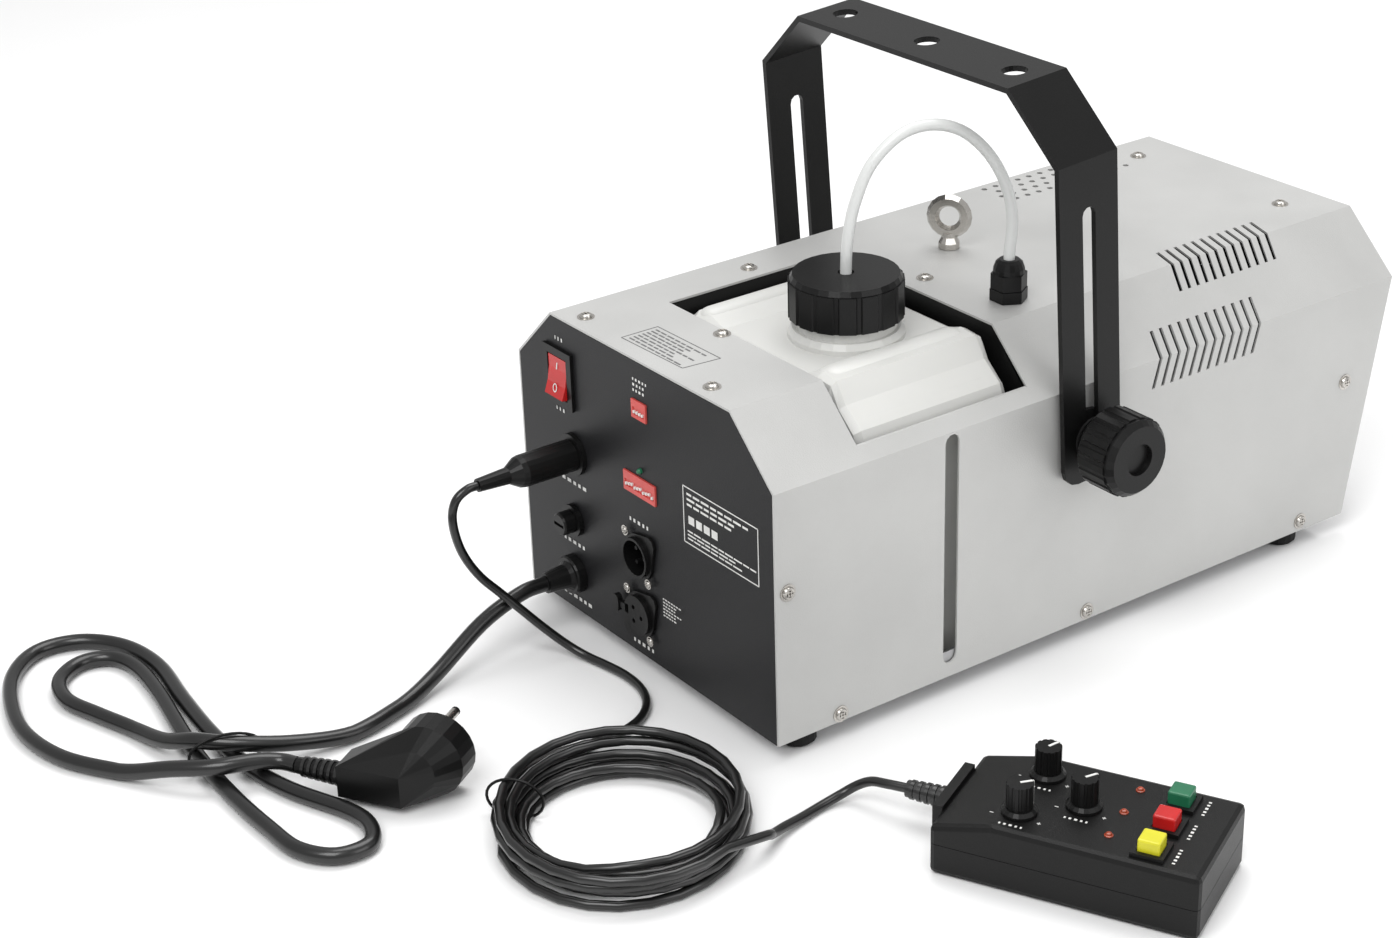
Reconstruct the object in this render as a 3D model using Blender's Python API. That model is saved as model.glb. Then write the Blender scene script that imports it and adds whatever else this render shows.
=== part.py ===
"""Fog machine with a swing bracket, a lift-out fluid tank, a mains lead and a wired remote control.

Units are metres, +Z is up and the floor is z = 0. The origin is the centre of the footprint of the
machine and its remote control together. The machine is drawn in its own frame, the "machine" empty:
x = 0 is its middle plane, y = 0 the face of the control panel and +y points to the nozzle.
The remote control has a frame of its own too, the "handset" empty.
"""

import math

import bmesh
import bpy
from mathutils import Matrix, Vector

# Clearance between pieces that touch
GAP = 0.0003

# Where the machine and the handset stand
MACHINE_PLACE = (-0.0940, -0.2080, 0.0)
HANDSET_PLACE = (0.2689, 0.0572, 0.0)
HANDSET_TURN = math.radians(26.9)

# Casing
BODY_WIDTH = 0.224
TOP_WIDTH = 0.157
BODY_LENGTH = 0.428
BODY_HEIGHT = 0.170
SIDE_HEIGHT = 0.138
FOOT_HEIGHT = 0.010
SHEET = 0.0012
PANEL = 0.0015
FLANGE_DEPTH = 0.014
FRONT_LEAN = 0.026
FRONT_RECESS = 0.012
HALF = BODY_WIDTH / 2
HALF_TOP = TOP_WIDTH / 2
FLOOR_Z = FOOT_HEIGHT
SIDE_Z = FOOT_HEIGHT + SIDE_HEIGHT
TOP_Z = FOOT_HEIGHT + BODY_HEIGHT

# Opening for the tank, level slot and air slots
OPENING_X = (-0.050, 0.106)
OPENING_Y = (0.0554, 0.1645)
OPENING_Z = 0.1543
LEVEL_SLOT_Y = 0.110
LEVEL_SLOT_Z = (0.0224, 0.1423)
LEVEL_SLOT_WIDTH = 0.009
AIR_SLOTS = 12
AIR_SLOT_WIDTH = 0.0023

# Tank well and tank
WELL_WALL = 0.0012
WELL_FLOOR_Z = FLOOR_Z + PANEL + GAP
TANK_X = (-0.045, 0.1020)
TANK_Y = (0.0605, 0.1595)
TANK_WALL = 0.0022
CAP_AXIS = (0.029, 0.110)
NECK_RADIUS = 0.0262
NECK_BORE = 0.0222
NECK_BASE_Z = 0.1790
NECK_TOP_Z = 0.2010
CAP_RADIUS = 0.0298
CAP_Z = (0.1845, 0.2070)
CAP_RIBS = 16

# Hose from the tank to the gland on the lid
HOSE_RADIUS = 0.003
HOSE_GLAND = (0.0592, 0.1926)
HOSE_HOLE = 0.0042

# Bracket and its clamps
PIVOT_Y = 0.1988
PIVOT_Z = 0.1205
BRACKET_TILT = math.radians(3.8)
BRACKET_OUT = 0.118
BRACKET_SHEET = 0.003
BRACKET_WIDTH = 0.0385
BRACKET_TOP = 0.185
BRACKET_BEND_X = 0.083
BRACKET_BEND_Z = 0.152
BRACKET_FOOT = -0.023
LEG_SLOT = (-0.012, 0.123)
LEG_SLOT_WIDTH = 0.0085
STUD_RADIUS = 0.004
KNOB_RADIUS = 0.0214
KNOB_BACK = 0.1275
KNOB_FACE = 0.1520
KNOB_RIBS = 20

# Control panel: places as (x, z)
SWITCH_PLACE = (-0.0712, 0.1465)
SOCKET_PLACE = (-0.061, 0.1056)
FUSE_PLACE = (-0.0645, 0.0655)
MAINS_PLACE = (-0.0658, 0.033)
SIGNAL_IN_PLACE = (-0.0034, 0.0687)
SIGNAL_OUT_PLACE = (-0.0037, 0.0349)
DIP_PLACE = (-0.0006, 0.109)
WIRELESS_PLACE = (0.0016, 0.1525)
LED_PLACE = (0.0002, 0.1185)

# Heater, pump and nozzle
NOZZLE_Z = 0.095
HEATER_Y = (0.236, 0.376)
PUMP_PLACE = (-0.078, 0.270, 0.046)

# Cords
MAINS_RADIUS = 0.0042
REMOTE_RADIUS = 0.0024
COIL_CENTRE = (0.112, -0.0918)
COIL_TURN = math.radians(-34.5)
COIL_OUTER = (0.0725, 0.0638)
COIL_INNER = (0.0360, 0.0425)
COIL_HEIGHT = 0.019

# Remote control: the long side lies along its x
HANDSET_LENGTH = 0.1275
HANDSET_WIDTH = 0.068
HANDSET_HEIGHT = 0.033
HANDSET_END_HEIGHT = 0.0255
HANDSET_SLOPE = 0.030
HANDSET_SPLIT = 0.016
HANDSET_WALL = 0.0022
HANDSET_BOSS = (0.004, 0.040, 0.0275)
DIAL_PLACES = ((-0.0256, 0.0172), (-0.0265, -0.0169), (-0.0015, -0.0005))
BUTTON_PLACES = ((0.0373, 0.0203), (0.0373, -0.0007), (0.0373, -0.0217))
BUTTON_SIDE = 0.0105
BEZEL_SIDE = 0.0155
BEZEL_HEIGHT = 0.0022
RELIEF_PLACE = (0.0035, 0.0165)
RELIEF_LENGTH = 0.0220

# Mains plug: where its cable enters, the middle of its round body and the way its cable runs
PLUG_ENTRY = Vector((0.0028, -0.1814, 0.0115))
PLUG_CENTRE = Vector((0.0285, -0.1490, 0.0197))
PLUG_HEADING = Vector((0.839, 0.544, 0.0))
PLUG_RADIUS = 0.0192

# The mains lead: out of the gland, down to the floor and through three tied loops to the plug
MAINS_ROUTE = (
    (-0.0658, -0.0203, 0.0330), (-0.0655, -0.0360, 0.0324), (-0.0635, -0.0620, 0.0245),
    (-0.0560, -0.0960, 0.0090), (-0.0470, -0.1220, 0.0042), (-0.0388, -0.1540, 0.0042),
    (-0.0430, -0.1870, 0.0092), (-0.0560, -0.2145, 0.0134), (-0.0700, -0.2270, 0.0130),
    (-0.0880, -0.2350, 0.0072), (-0.1120, -0.2405, 0.0042), (-0.1370, -0.2490, 0.0042),
    (-0.1610, -0.2560, 0.0042), (-0.1820, -0.2510, 0.0042), (-0.1925, -0.2350, 0.0042),
    (-0.1870, -0.2190, 0.0042), (-0.1690, -0.2130, 0.0042), (-0.1390, -0.2150, 0.0042),
    (-0.1000, -0.2215, 0.0042), (-0.0620, -0.2270, 0.0042), (-0.0220, -0.2290, 0.0042),
    (0.0120, -0.2280, 0.0042), (0.0360, -0.2255, 0.0042), (0.0520, -0.2140, 0.0042),
    (0.0535, -0.1970, 0.0042), (0.0400, -0.1890, 0.0042), (0.0220, -0.1905, 0.0042),
    (-0.0120, -0.2040, 0.0042), (-0.0450, -0.2105, 0.0042), (-0.0850, -0.2110, 0.0042),
    (-0.1250, -0.2075, 0.0042), (-0.1640, -0.2028, 0.0042), (-0.1950, -0.2085, 0.0042),
    (-0.2150, -0.2250, 0.0042), (-0.2190, -0.2480, 0.0042), (-0.2030, -0.2680, 0.0042),
    (-0.1740, -0.2810, 0.0042), (-0.1420, -0.2865, 0.0042), (-0.1090, -0.2805, 0.0042),
    (-0.0800, -0.2635, 0.0042), (-0.0570, -0.2465, 0.0104), (-0.0400, -0.2300, 0.0134),
    (-0.0325, -0.2120, 0.0134), (-0.0272, -0.2010, 0.0118), (-0.0196, -0.1959, 0.0115),
)

# The remote lead: out of its plug, over the mains lead and along the floor to the coil
LEAD_ROUTE = (
    (-0.0610, -0.0603, 0.1056), (-0.0611, -0.0660, 0.1052), (-0.0617, -0.0725, 0.1010),
    (-0.0627, -0.0750, 0.0920), (-0.0643, -0.0730, 0.0790), (-0.0656, -0.0680, 0.0650),
    (-0.0650, -0.0600, 0.0510), (-0.0610, -0.0510, 0.0400), (-0.0550, -0.0420, 0.0290),
    (-0.0490, -0.0330, 0.0180), (-0.0420, -0.0240, 0.0080), (-0.0320, -0.0180, 0.0030),
    (-0.0180, -0.0145, 0.0024), (-0.0020, -0.0125, 0.0024), (0.0140, -0.0142, 0.0024),
    (0.0280, -0.0210, 0.0024), (0.0405, -0.0330, 0.0024), (0.0505, -0.0495, 0.0024),
)
# The remote lead again, from the coil to the remote control
TAIL_ROUTE = (
    (0.1750, -0.0605, 0.0110), (0.1710, -0.0540, 0.0090), (0.1665, -0.0455, 0.0068),
    (0.1625, -0.0350, 0.0046), (0.1593, -0.0225, 0.0029), (0.1568, -0.0085, 0.0026),
    (0.1575, 0.0030, 0.0048), (0.1615, 0.0095, 0.0092), (0.1685, 0.0125, 0.0138),
    (0.1770, 0.0147, 0.0159), (0.1867, 0.0194, 0.0165),
)
# The hose: up out of the tank, over in an arch and down into the gland
HOSE_ROUTE = (
    (0.0290, 0.1100, 0.0300), (0.0290, 0.1100, 0.0750), (0.0290, 0.1100, 0.1200),
    (0.0290, 0.1100, 0.1650), (0.0290, 0.1100, 0.2080), (0.0295, 0.1113, 0.2270),
    (0.0308, 0.1150, 0.2440), (0.0335, 0.1228, 0.2620), (0.0385, 0.1368, 0.2755),
    (0.0440, 0.1520, 0.2790), (0.0495, 0.1675, 0.2740), (0.0545, 0.1815, 0.2600),
    (0.0580, 0.1910, 0.2410), (0.0593, 0.1941, 0.2220), (0.0592, 0.1926, 0.2050),
    (0.0592, 0.1926, 0.1880), (0.0592, 0.1926, 0.1700),
)
# The suction line inside the casing, from under the gland to the pump
LINE_ROUTE = (
    (0.0592, 0.1926, 0.1697), (0.0592, 0.1942, 0.1500), (0.0570, 0.1990, 0.1250),
    (0.0480, 0.2060, 0.1000), (0.0250, 0.2110, 0.0760), (-0.0100, 0.2120, 0.0600),
    (-0.0450, 0.2110, 0.0500), (-0.0680, 0.2130, 0.0465), (-0.0770, 0.2200, 0.0460),
    (-0.0780, 0.2290, 0.0460),
)


def clear_scene():
    """Starts from an empty file."""
    for old in list(bpy.data.objects):
        bpy.data.objects.remove(old, do_unlink=True)


def finish(name, colour, roughness, metallic=0.0):
    """A plain Principled material."""
    made = bpy.data.materials.new(name)
    made.use_nodes = True
    shader = made.node_tree.nodes["Principled BSDF"]
    shader.inputs["Base Color"].default_value = (*colour, 1.0)
    shader.inputs["Roughness"].default_value = roughness
    shader.inputs["Metallic"].default_value = metallic
    return made


def empty(name, location, turn=0.0):
    """A frame that pieces are parented to."""
    frame = bpy.data.objects.new(name, None)
    frame.location = location
    frame.rotation_euler = (0.0, 0.0, turn)
    bpy.context.scene.collection.objects.link(frame)
    return frame


def add(name, bm, material, parent, location=(0, 0, 0), rotation=(0, 0, 0)):
    """Turns a bmesh into a named object, smooth where it is round."""
    bmesh.ops.recalc_face_normals(bm, faces=bm.faces)
    mesh = bpy.data.meshes.new(name)
    bm.to_mesh(mesh)
    bm.free()
    mesh.materials.append(material)
    mesh.shade_smooth()
    mesh.set_sharp_from_angle(angle=math.radians(35))
    piece = bpy.data.objects.new(name, mesh)
    piece.parent = parent
    piece.location = location
    piece.rotation_euler = rotation
    bpy.context.scene.collection.objects.link(piece)
    return piece


def combine(target, bm, operation):
    """Adds a Boolean with a hidden tool object, given in the target's own frame."""
    tool = add(f"{target.name}_tool_{len(target.modifiers)}", bm, target.data.materials[0], target)
    tool.hide_render = True
    tool.display_type = "WIRE"
    boolean = target.modifiers.new(operation.lower(), "BOOLEAN")
    boolean.operation = operation
    boolean.solver = "EXACT"
    boolean.object = tool


def cut(target, *shapes):
    """Removes the shapes, which don't touch each other, in one Boolean."""
    combine(target, joined(shapes), "DIFFERENCE")


def unite(target, *shapes):
    """Joins each shape to the target, one after the other."""
    for shape in shapes:
        combine(target, shape, "UNION")


def joined(shapes):
    """Several bmeshes as one."""
    whole = bmesh.new()
    for shape in shapes:
        part = bpy.data.meshes.new("part")
        bmesh.ops.recalc_face_normals(shape, faces=shape.faces)
        shape.to_mesh(part)
        shape.free()
        whole.from_mesh(part)
        bpy.data.meshes.remove(part)
    return whole


def moved(bm, by):
    """Shifts a bmesh and gives it back."""
    bmesh.ops.translate(bm, verts=bm.verts, vec=by)
    return bm


def turned_by(bm, angle, axis):
    """Turns a bmesh about an axis through its origin and gives it back."""
    bmesh.ops.rotate(bm, verts=bm.verts, matrix=Matrix.Rotation(angle, 3, axis))
    return bm


def block(low, high):
    """A box from its lowest to its highest corner."""
    bm = bmesh.new()
    bmesh.ops.create_cube(bm, size=1.0)
    for vert in bm.verts:
        for i in range(3):
            vert.co[i] = low[i] if vert.co[i] < 0 else high[i]
    return bm


def block_at(centre, size):
    """A box from its centre and size."""
    low = [c - s / 2 for c, s in zip(centre, size)]
    high = [c + s / 2 for c, s in zip(centre, size)]
    return block(low, high)


def along(axis, a, b, h):
    """The point with plane coordinates a, b and height h along an axis."""
    return {"X": (h, a, b), "Y": (a, h, b), "Z": (a, b, h)}[axis]


def bridged(loops, closed=False):
    """A skin over loops of points, one of which can be a single point, closed or capped at its ends."""
    bm = bmesh.new()
    made = [[bm.verts.new(point) for point in loop] for loop in loops]
    count = max(len(loop) for loop in made)
    for lower, upper in zip(made, made[1:] + made[:1] if closed else made[1:]):
        for i in range(count):
            j = (i + 1) % count
            corners = (lower[i % len(lower)], lower[j % len(lower)], upper[j % len(upper)], upper[i % len(upper)])
            bm.faces.new(list(dict.fromkeys(corners)))
    if not closed:
        for loop in (made[0], made[-1]):
            if len(loop) > 1:
                bm.faces.new(loop)
    return bm


def prism(outline, start, end, axis):
    """A flat outline pushed along X, Y or Z. Its points are (y, z), (x, z) or (x, y)."""
    return bridged([[along(axis, a, b, h) for a, b in outline] for h in (start, end)])


def arc(centre, radius, start, end, steps):
    """Points on an arc; the angles are in degrees."""
    points = []
    for i in range(steps + 1):
        angle = math.radians(start + (end - start) * i / steps)
        points.append((centre[0] + radius * math.cos(angle), centre[1] + radius * math.sin(angle)))
    return points


def circle(centre, radius, segments):
    """Points round a circle."""
    return arc(centre, radius, 0, 360 * (segments - 1) / segments, segments - 1)


def stadium(centre, low, high, width, steps=5):
    """An upright slot outline with round ends whose centres are at low and high."""
    top = arc((centre, high), width / 2, 0, 180, steps)
    return top + arc((centre, low), width / 2, 180, 360, steps)


def rounded(width, height, radius, steps=3, centre=(0, 0)):
    """A rectangle with round corners."""
    x, y = width / 2 - radius, height / 2 - radius
    points = []
    for i, (sx, sy) in enumerate(((1, 1), (-1, 1), (-1, -1), (1, -1))):
        corner = (centre[0] + sx * x, centre[1] + sy * y)
        points += arc(corner, radius, 90 * i, 90 * i + 90, steps)
    return points


def ribbed(radius, depth, ribs, duty=0.5):
    """A round outline with shallow square ribs."""
    points = []
    for i in range(ribs):
        start = 360 * i / ribs
        land = 360 * duty / ribs
        edge = (360 - 360 * duty) / ribs * 0.2
        points += arc((0, 0), radius, start, start + land, 1)
        points += arc((0, 0), radius - depth, start + land + edge, start + 360 / ribs - edge, 1)
    return points


def turned(profile, axis, segments=32, centre=(0, 0, 0)):
    """A round solid or ring: the profile's points are (radius, height along the axis)."""
    loops = []
    for radius, height in profile:
        flat = circle((0, 0), radius, segments) if radius else [(0, 0)]
        loops.append([along(axis, a, b, height) for a, b in flat])
    return moved(bridged(loops, closed=profile[0][0] != 0), centre)


def disc(radius, start, end, axis, segments=32, centre=(0, 0, 0)):
    """A plain round rod or plate."""
    return moved(prism(circle((0, 0), radius, segments), start, end, axis), centre)


def ring(outer, inner, start, end, axis, segments=32, centre=(0, 0, 0)):
    """A plain washer or tube."""
    return turned([(outer, start), (outer, end), (inner, end), (inner, start)], axis, segments, centre)


def smooth_route(route):
    """The route's points and one between each two, on a Catmull-Rom curve."""
    given = [Vector(point) for point in route]
    ends = [given[0] * 2 - given[1], *given, given[-1] * 2 - given[-2]]
    points = []
    for p0, p1, p2, p3 in zip(ends, ends[1:], ends[2:], ends[3:]):
        points += [p1, (9 * (p1 + p2) - p0 - p3) / 16]
    points.append(given[-1])
    return points


def tube(name, route, radius, material, parent):
    """A cord or hose: a filled curve along a smooth route, nowhere below the floor."""
    points = smooth_route(route)
    curve = bpy.data.curves.new(name, "CURVE")
    curve.dimensions = "3D"
    curve.bevel_depth = radius
    curve.bevel_resolution = 2
    curve.use_fill_caps = True
    spline = curve.splines.new("POLY")
    spline.points.add(len(points) - 1)
    for slot, point in zip(spline.points, points):
        slot.co = (point.x, point.y, max(point.z, radius), 1.0)
    curve.materials.append(material)
    piece = bpy.data.objects.new(name, curve)
    piece.parent = parent
    bpy.context.scene.collection.objects.link(piece)
    return piece


def hull(points):
    """The convex solid round some points."""
    bm = bmesh.new()
    for point in points:
        bm.verts.new(point)
    made = bmesh.ops.convex_hull(bm, input=bm.verts)
    unused = [item for item in made["geom_interior"] if isinstance(item, bmesh.types.BMVert)]
    bmesh.ops.delete(bm, geom=unused, context="VERTS")
    bmesh.ops.dissolve_limit(bm, angle_limit=math.radians(1), verts=bm.verts, edges=bm.edges)
    return bm


def softened(bm, radius, flat_z):
    """Rounds every edge of a bmesh but those in the plane z = flat_z."""
    edges = [edge for edge in bm.edges if any(abs(vert.co.z - flat_z) > 1e-6 for vert in edge.verts)]
    bmesh.ops.bevel(bm, geom=edges, offset=radius, segments=2, affect="EDGES", profile=0.5)
    return bm


def bevel(piece, width, segments, angle):
    """Rounds the edges that turn by more than an angle."""
    edge = piece.modifiers.new("bevel", "BEVEL")
    edge.width = width
    edge.segments = segments
    edge.limit_method = "ANGLE"
    edge.angle_limit = math.radians(angle)


# Casing ------------------------------------------------------------------------------------------


def arch_outline(inset, low):
    """The casing's outline above a height, drawn inwards by an inset: sides, chamfers and top."""
    slope = math.atan2(TOP_Z - SIDE_Z, HALF - HALF_TOP)
    side_drop = inset * math.tan(slope / 2)
    top_shift = inset * math.tan((math.pi / 2 - slope) / 2)
    right = [(HALF - inset, low), (HALF - inset, SIDE_Z - top_shift), (HALF_TOP - side_drop, TOP_Z - inset)]
    return right + [(-x, z) for x, z in reversed(right)]


def front_y(z):
    """Where the casing's front edge lies at a height: the sides lean back below the chamfer."""
    return BODY_LENGTH - FRONT_LEAN * max(0.0, (SIDE_Z - z) / SIDE_HEIGHT)


def sheared_front(bm, behind):
    """Moves the points at the front end back by the casing's lean."""
    for vert in bm.verts:
        if vert.co.y > behind:
            vert.co.y += front_y(vert.co.z) - BODY_LENGTH
    return bm


def arch_strip(inset, thickness, low, start, end):
    """A bent sheet that follows the sides, chamfers and top."""
    outline = arch_outline(inset, low) + arch_outline(inset + thickness, low)[::-1]
    return prism(outline, start, end, "Y")


def air_slot_tools():
    """Two rows of slanted slots: over the bend at the top, and over the bend at the side."""
    tools = []
    half = AIR_SLOT_WIDTH / 2
    for i in range(AIR_SLOTS):
        y = 0.2966 + i * 0.00642
        outline = (
            (0.0614, y - half), (0.0614, y + half), (0.0897, y - 0.0098 + half), (0.0897, y - 0.0098 - half),
        )
        tools.append(prism(outline, 0.160, 0.190, "Z"))
        y = 0.2546 + i * 0.00660
        outline = (
            (y - half, 0.1587), (y + half, 0.1587), (y - 0.0078 + half, 0.1319), (y - 0.0078 - half, 0.1319),
        )
        tools.append(prism(outline, 0.095, 0.125, "X"))
    return tools


def air_hole_tools():
    """A staggered patch of round holes at the far side of the lid."""
    rows, columns, pitch = 4, 11, 0.0085
    tools = []
    for row in range(rows):
        for column in range(columns):
            x = -0.0725 + row * 0.0075
            y = 0.292 + column * pitch + (row % 2) * pitch / 2
            tools.append(disc(0.0019, TOP_Z - 0.004, TOP_Z + 0.004, "Z", 6, (x, y, 0)))
    return tools


def build_cover(machine, paint):
    """The bent cover: sides, chamfers and top in one sheet."""
    bm = sheared_front(arch_strip(0, SHEET, FLOOR_Z, 0, BODY_LENGTH), BODY_LENGTH / 2)
    cover = add("top_cover", bm, paint, machine)
    low, high = zip(OPENING_X, OPENING_Y, (OPENING_Z, TOP_Z + 0.01))
    level_slot = stadium(LEVEL_SLOT_Y, LEVEL_SLOT_Z[0], LEVEL_SLOT_Z[1], LEVEL_SLOT_WIDTH)
    bolt_hole = circle((PIVOT_Y, PIVOT_Z), STUD_RADIUS + GAP, 16)
    cut(
        cover,
        block(low, high),
        prism(level_slot, HALF - 0.01, HALF + 0.01, "X"),
        prism(bolt_hole, -HALF - 0.01, -HALF + 0.01, "X"),
        prism(bolt_hole, HALF - 0.01, HALF + 0.01, "X"),
        disc(0.0068, TOP_Z - 0.004, TOP_Z + 0.004, "Z", 16, (*HOSE_GLAND, 0)),
        disc(0.0030, TOP_Z - 0.004, TOP_Z + 0.004, "Z", 12, (-0.016, 0.217, 0)),
    )
    cut(cover, *air_slot_tools())
    cut(cover, *air_hole_tools())


def build_base(machine, metal):
    """The floor tray: a plate with a lip that the cover is screwed to along each side."""
    inner = HALF - SHEET - GAP
    outline = [(-inner, FLOOR_Z), (inner, FLOOR_Z), (inner, FLOOR_Z + FLANGE_DEPTH)]
    outline += [(inner - PANEL, FLOOR_Z + FLANGE_DEPTH), (inner - PANEL, FLOOR_Z + PANEL)]
    outline += [(-x, z) for x, z in reversed(outline[2:])]
    end = BODY_LENGTH - FRONT_LEAN - FRONT_RECESS - 0.003
    add("base_tray", prism(outline, 0.003, end, "Y"), metal, machine)


def build_rear_panel(machine, paint):
    """The control panel: a plate with a flange behind it and a hole for each fitting."""
    inset = SHEET + GAP
    plate = prism(arch_outline(inset, FLOOR_Z), 0, PANEL, "Y")
    panel = add("rear_panel", plate, paint, machine)
    unite(panel, arch_strip(inset, SHEET, FLOOR_Z + FLANGE_DEPTH + 0.003, PANEL / 2, FLANGE_DEPTH))
    holes = [
        block_at((SWITCH_PLACE[0], 0, SWITCH_PLACE[1]), (0.0226, 0.01, 0.0286)),
        block_at((DIP_PLACE[0], 0, DIP_PLACE[1]), (0.0286, 0.01, 0.0116)),
        block_at((WIRELESS_PLACE[0], 0, WIRELESS_PLACE[1]), (0.0131, 0.01, 0.0106)),
    ]
    for place, radius in (
        (SOCKET_PLACE, 0.0083), (FUSE_PLACE, 0.0068), (MAINS_PLACE, 0.0073),
        (SIGNAL_IN_PLACE, 0.0113), (SIGNAL_OUT_PLACE, 0.0113), (LED_PLACE, 0.0018),
    ):
        holes.append(disc(radius, -0.005, 0.005, "Y", 20, (place[0], 0, place[1])))
    cut(panel, *holes)


def build_front_panel(machine, paint):
    """The nozzle end's panel, set back inside the cover and leaning with its edges."""
    inset = SHEET + GAP
    end = BODY_LENGTH - FRONT_RECESS
    plate = prism(arch_outline(inset, FLOOR_Z), end - PANEL, end, "Y")
    bmesh.ops.bisect_plane(
        plate, geom=plate.verts[:] + plate.edges[:] + plate.faces[:], plane_co=(0, 0, SIDE_Z), plane_no=(0, 0, 1)
    )
    panel = add("front_panel", sheared_front(plate, 0), paint, machine)
    lip = arch_strip(inset, SHEET, FLOOR_Z + FLANGE_DEPTH + 0.003, end - FLANGE_DEPTH, end - PANEL / 2)
    unite(panel, sheared_front(lip, 0))
    cut(panel, disc(0.0303, BODY_LENGTH - 0.08, BODY_LENGTH + 0.02, "Y", 32, (0, 0, NOZZLE_Z)))


def build_feet(machine, rubber):
    """Four rubber feet under the tray."""
    for side, x in (("left", -0.098), ("right", 0.098)):
        for end, y in (("rear", 0.022), ("front", 0.366)):
            profile = [(0, 0), (0.0085, 0), (0.0100, 0.0015), (0.0100, FOOT_HEIGHT - GAP), (0, FOOT_HEIGHT - GAP)]
            add(f"foot_{end}_{side}", turned(profile, "Z", 16, (x, y, 0)), rubber, machine)


def build_eye_bolt(machine, steel):
    """The safety eye: a ring on a collar, with its shank through the lid."""
    major, minor = 0.0090, 0.0035
    centre_z = TOP_Z + 0.0180
    bm = turned(
        [(major + minor * math.cos(t), minor * math.sin(t)) for t in (math.tau * i / 6 for i in range(6))],
        "Y", 18
    )
    eye = moved(turned_by(bm, math.radians(38), "Z"), (0, 0, centre_z))
    bolt = add("eye_bolt", eye, steel, machine, (-0.016, 0.217, 0))
    collar = [
        (0, TOP_Z - 0.008), (0.0027, TOP_Z - 0.008), (0.0027, TOP_Z + GAP), (0.0058, TOP_Z + GAP),
        (0.0058, TOP_Z + 0.0035), (0.0042, TOP_Z + 0.0065), (0.0040, TOP_Z + 0.0090), (0, TOP_Z + 0.0090),
    ]
    unite(bolt, turned(collar, "Z", 12))


# Control panel fittings --------------------------------------------------------------------------


def build_switch(machine, black, red):
    """The rocker switch: a bezel with a well, and the rocker that tips in it."""
    x, z = SWITCH_PLACE
    frame = add("switch_frame", block_at((x, -0.0012, z), (0.026, 0.0018, 0.032)), black, machine)
    unite(frame, block((x - 0.0108, -0.001, z - 0.0138), (x + 0.0108, 0.020, z + 0.0138)))
    cut(frame, block((x - 0.0088, -0.01, z - 0.0118), (x + 0.0088, 0.012, z + 0.0118)))
    rest = math.radians(-9)
    outline = [(-0.0022, 0.0108), (-0.0010, 0.0040), (-0.0010, -0.0040), (-0.0022, -0.0108)]
    outline += arc((0.0, 0.0), 0.0112, -75, 75, 6)
    rocker = prism(outline, -0.0083, 0.0083, "X")
    add("rocker", rocker, red, machine, (x, -0.0012, z), (rest, 0, 0))


def build_fuse(machine, black):
    """The fuse holder and its screwdriver cap."""
    x, z = FUSE_PLACE
    body = [
        (0.0090, -0.0030), (0.0090, -GAP), (0.0065, -GAP), (0.0065, 0.030), (0.0050, 0.030), (0.0050, -0.0030),
    ]
    add("fuse_holder", turned(body, "Y", 20, (x, 0, z)), black, machine)
    cap = [(0, -0.0105), (0.0056, -0.0105), (0.0064, -0.0095), (0.0064, -0.0033), (0.0046, -0.0033),
           (0.0046, 0.012), (0, 0.012)]
    fuse_cap = add("fuse_cap", turned(cap, "Y", 20), black, machine, (x, 0, z))
    cut(fuse_cap, block((-0.0045, -0.012, -0.0009), (0.0045, -0.0088, 0.0009)))


def connector_plate(place):
    """The flat front of a signal socket: round, with an ear at two corners."""
    points = []
    for (dx, dz), radius in (((0, 0), 0.0128), ((0.0105, 0.0105), 0.0045), ((-0.0105, -0.0105), 0.0045)):
        for a, b in circle((dx, dz), radius, 18 if radius > 0.01 else 8):
            points += [(place[0] + a, y, place[1] + b) for y in (-GAP, -0.0019)]
    return hull(points)


def build_signal_sockets(machine, black):
    """The signal sockets: three pins in a cup, and three sockets in a solid face with a release tab."""
    x, z = SIGNAL_IN_PLACE
    inlet = add("signal_in", connector_plate(SIGNAL_IN_PLACE), black, machine)
    unite(inlet, disc(0.0110, -0.0042, 0.022, "Y", 24, (x, 0, z)))
    cut(inlet, disc(0.0096, -0.006, 0.012, "Y", 24, (x, 0, z)))
    places = [(x + a, 0, z + b) for a, b in circle((0, 0), 0.0046, 3)]
    unite(inlet, *[disc(0.0012, -0.0010, 0.0125, "Y", 8, place) for place in places])

    x, z = SIGNAL_OUT_PLACE
    outlet = add("signal_out", connector_plate(SIGNAL_OUT_PLACE), black, machine)
    unite(outlet, disc(0.0110, -0.0042, 0.022, "Y", 24, (x, 0, z)))
    tab_slot = block((x - 0.0135, -0.0050, z - 0.0018), (x - 0.0070, -0.0015, z + 0.0034))
    holes = [disc(0.0014, -0.006, 0.010, "Y", 8, (x + a, 0, z + b)) for a, b in circle((0, 0), 0.0046, 3)]
    cut(outlet, tab_slot, *holes)
    tab = add("release_tab", block((-0.0032, -0.0044, -0.0011), (0.0034, -0.0022, 0.0027)), black, machine,
              (x - 0.0132, 0, z))
    unite(tab, prism(rounded(0.0056, 0.0100, 0.0027, 3, (-0.0045, 0.0006)), -0.0052, -0.0022, "Y"))


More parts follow.
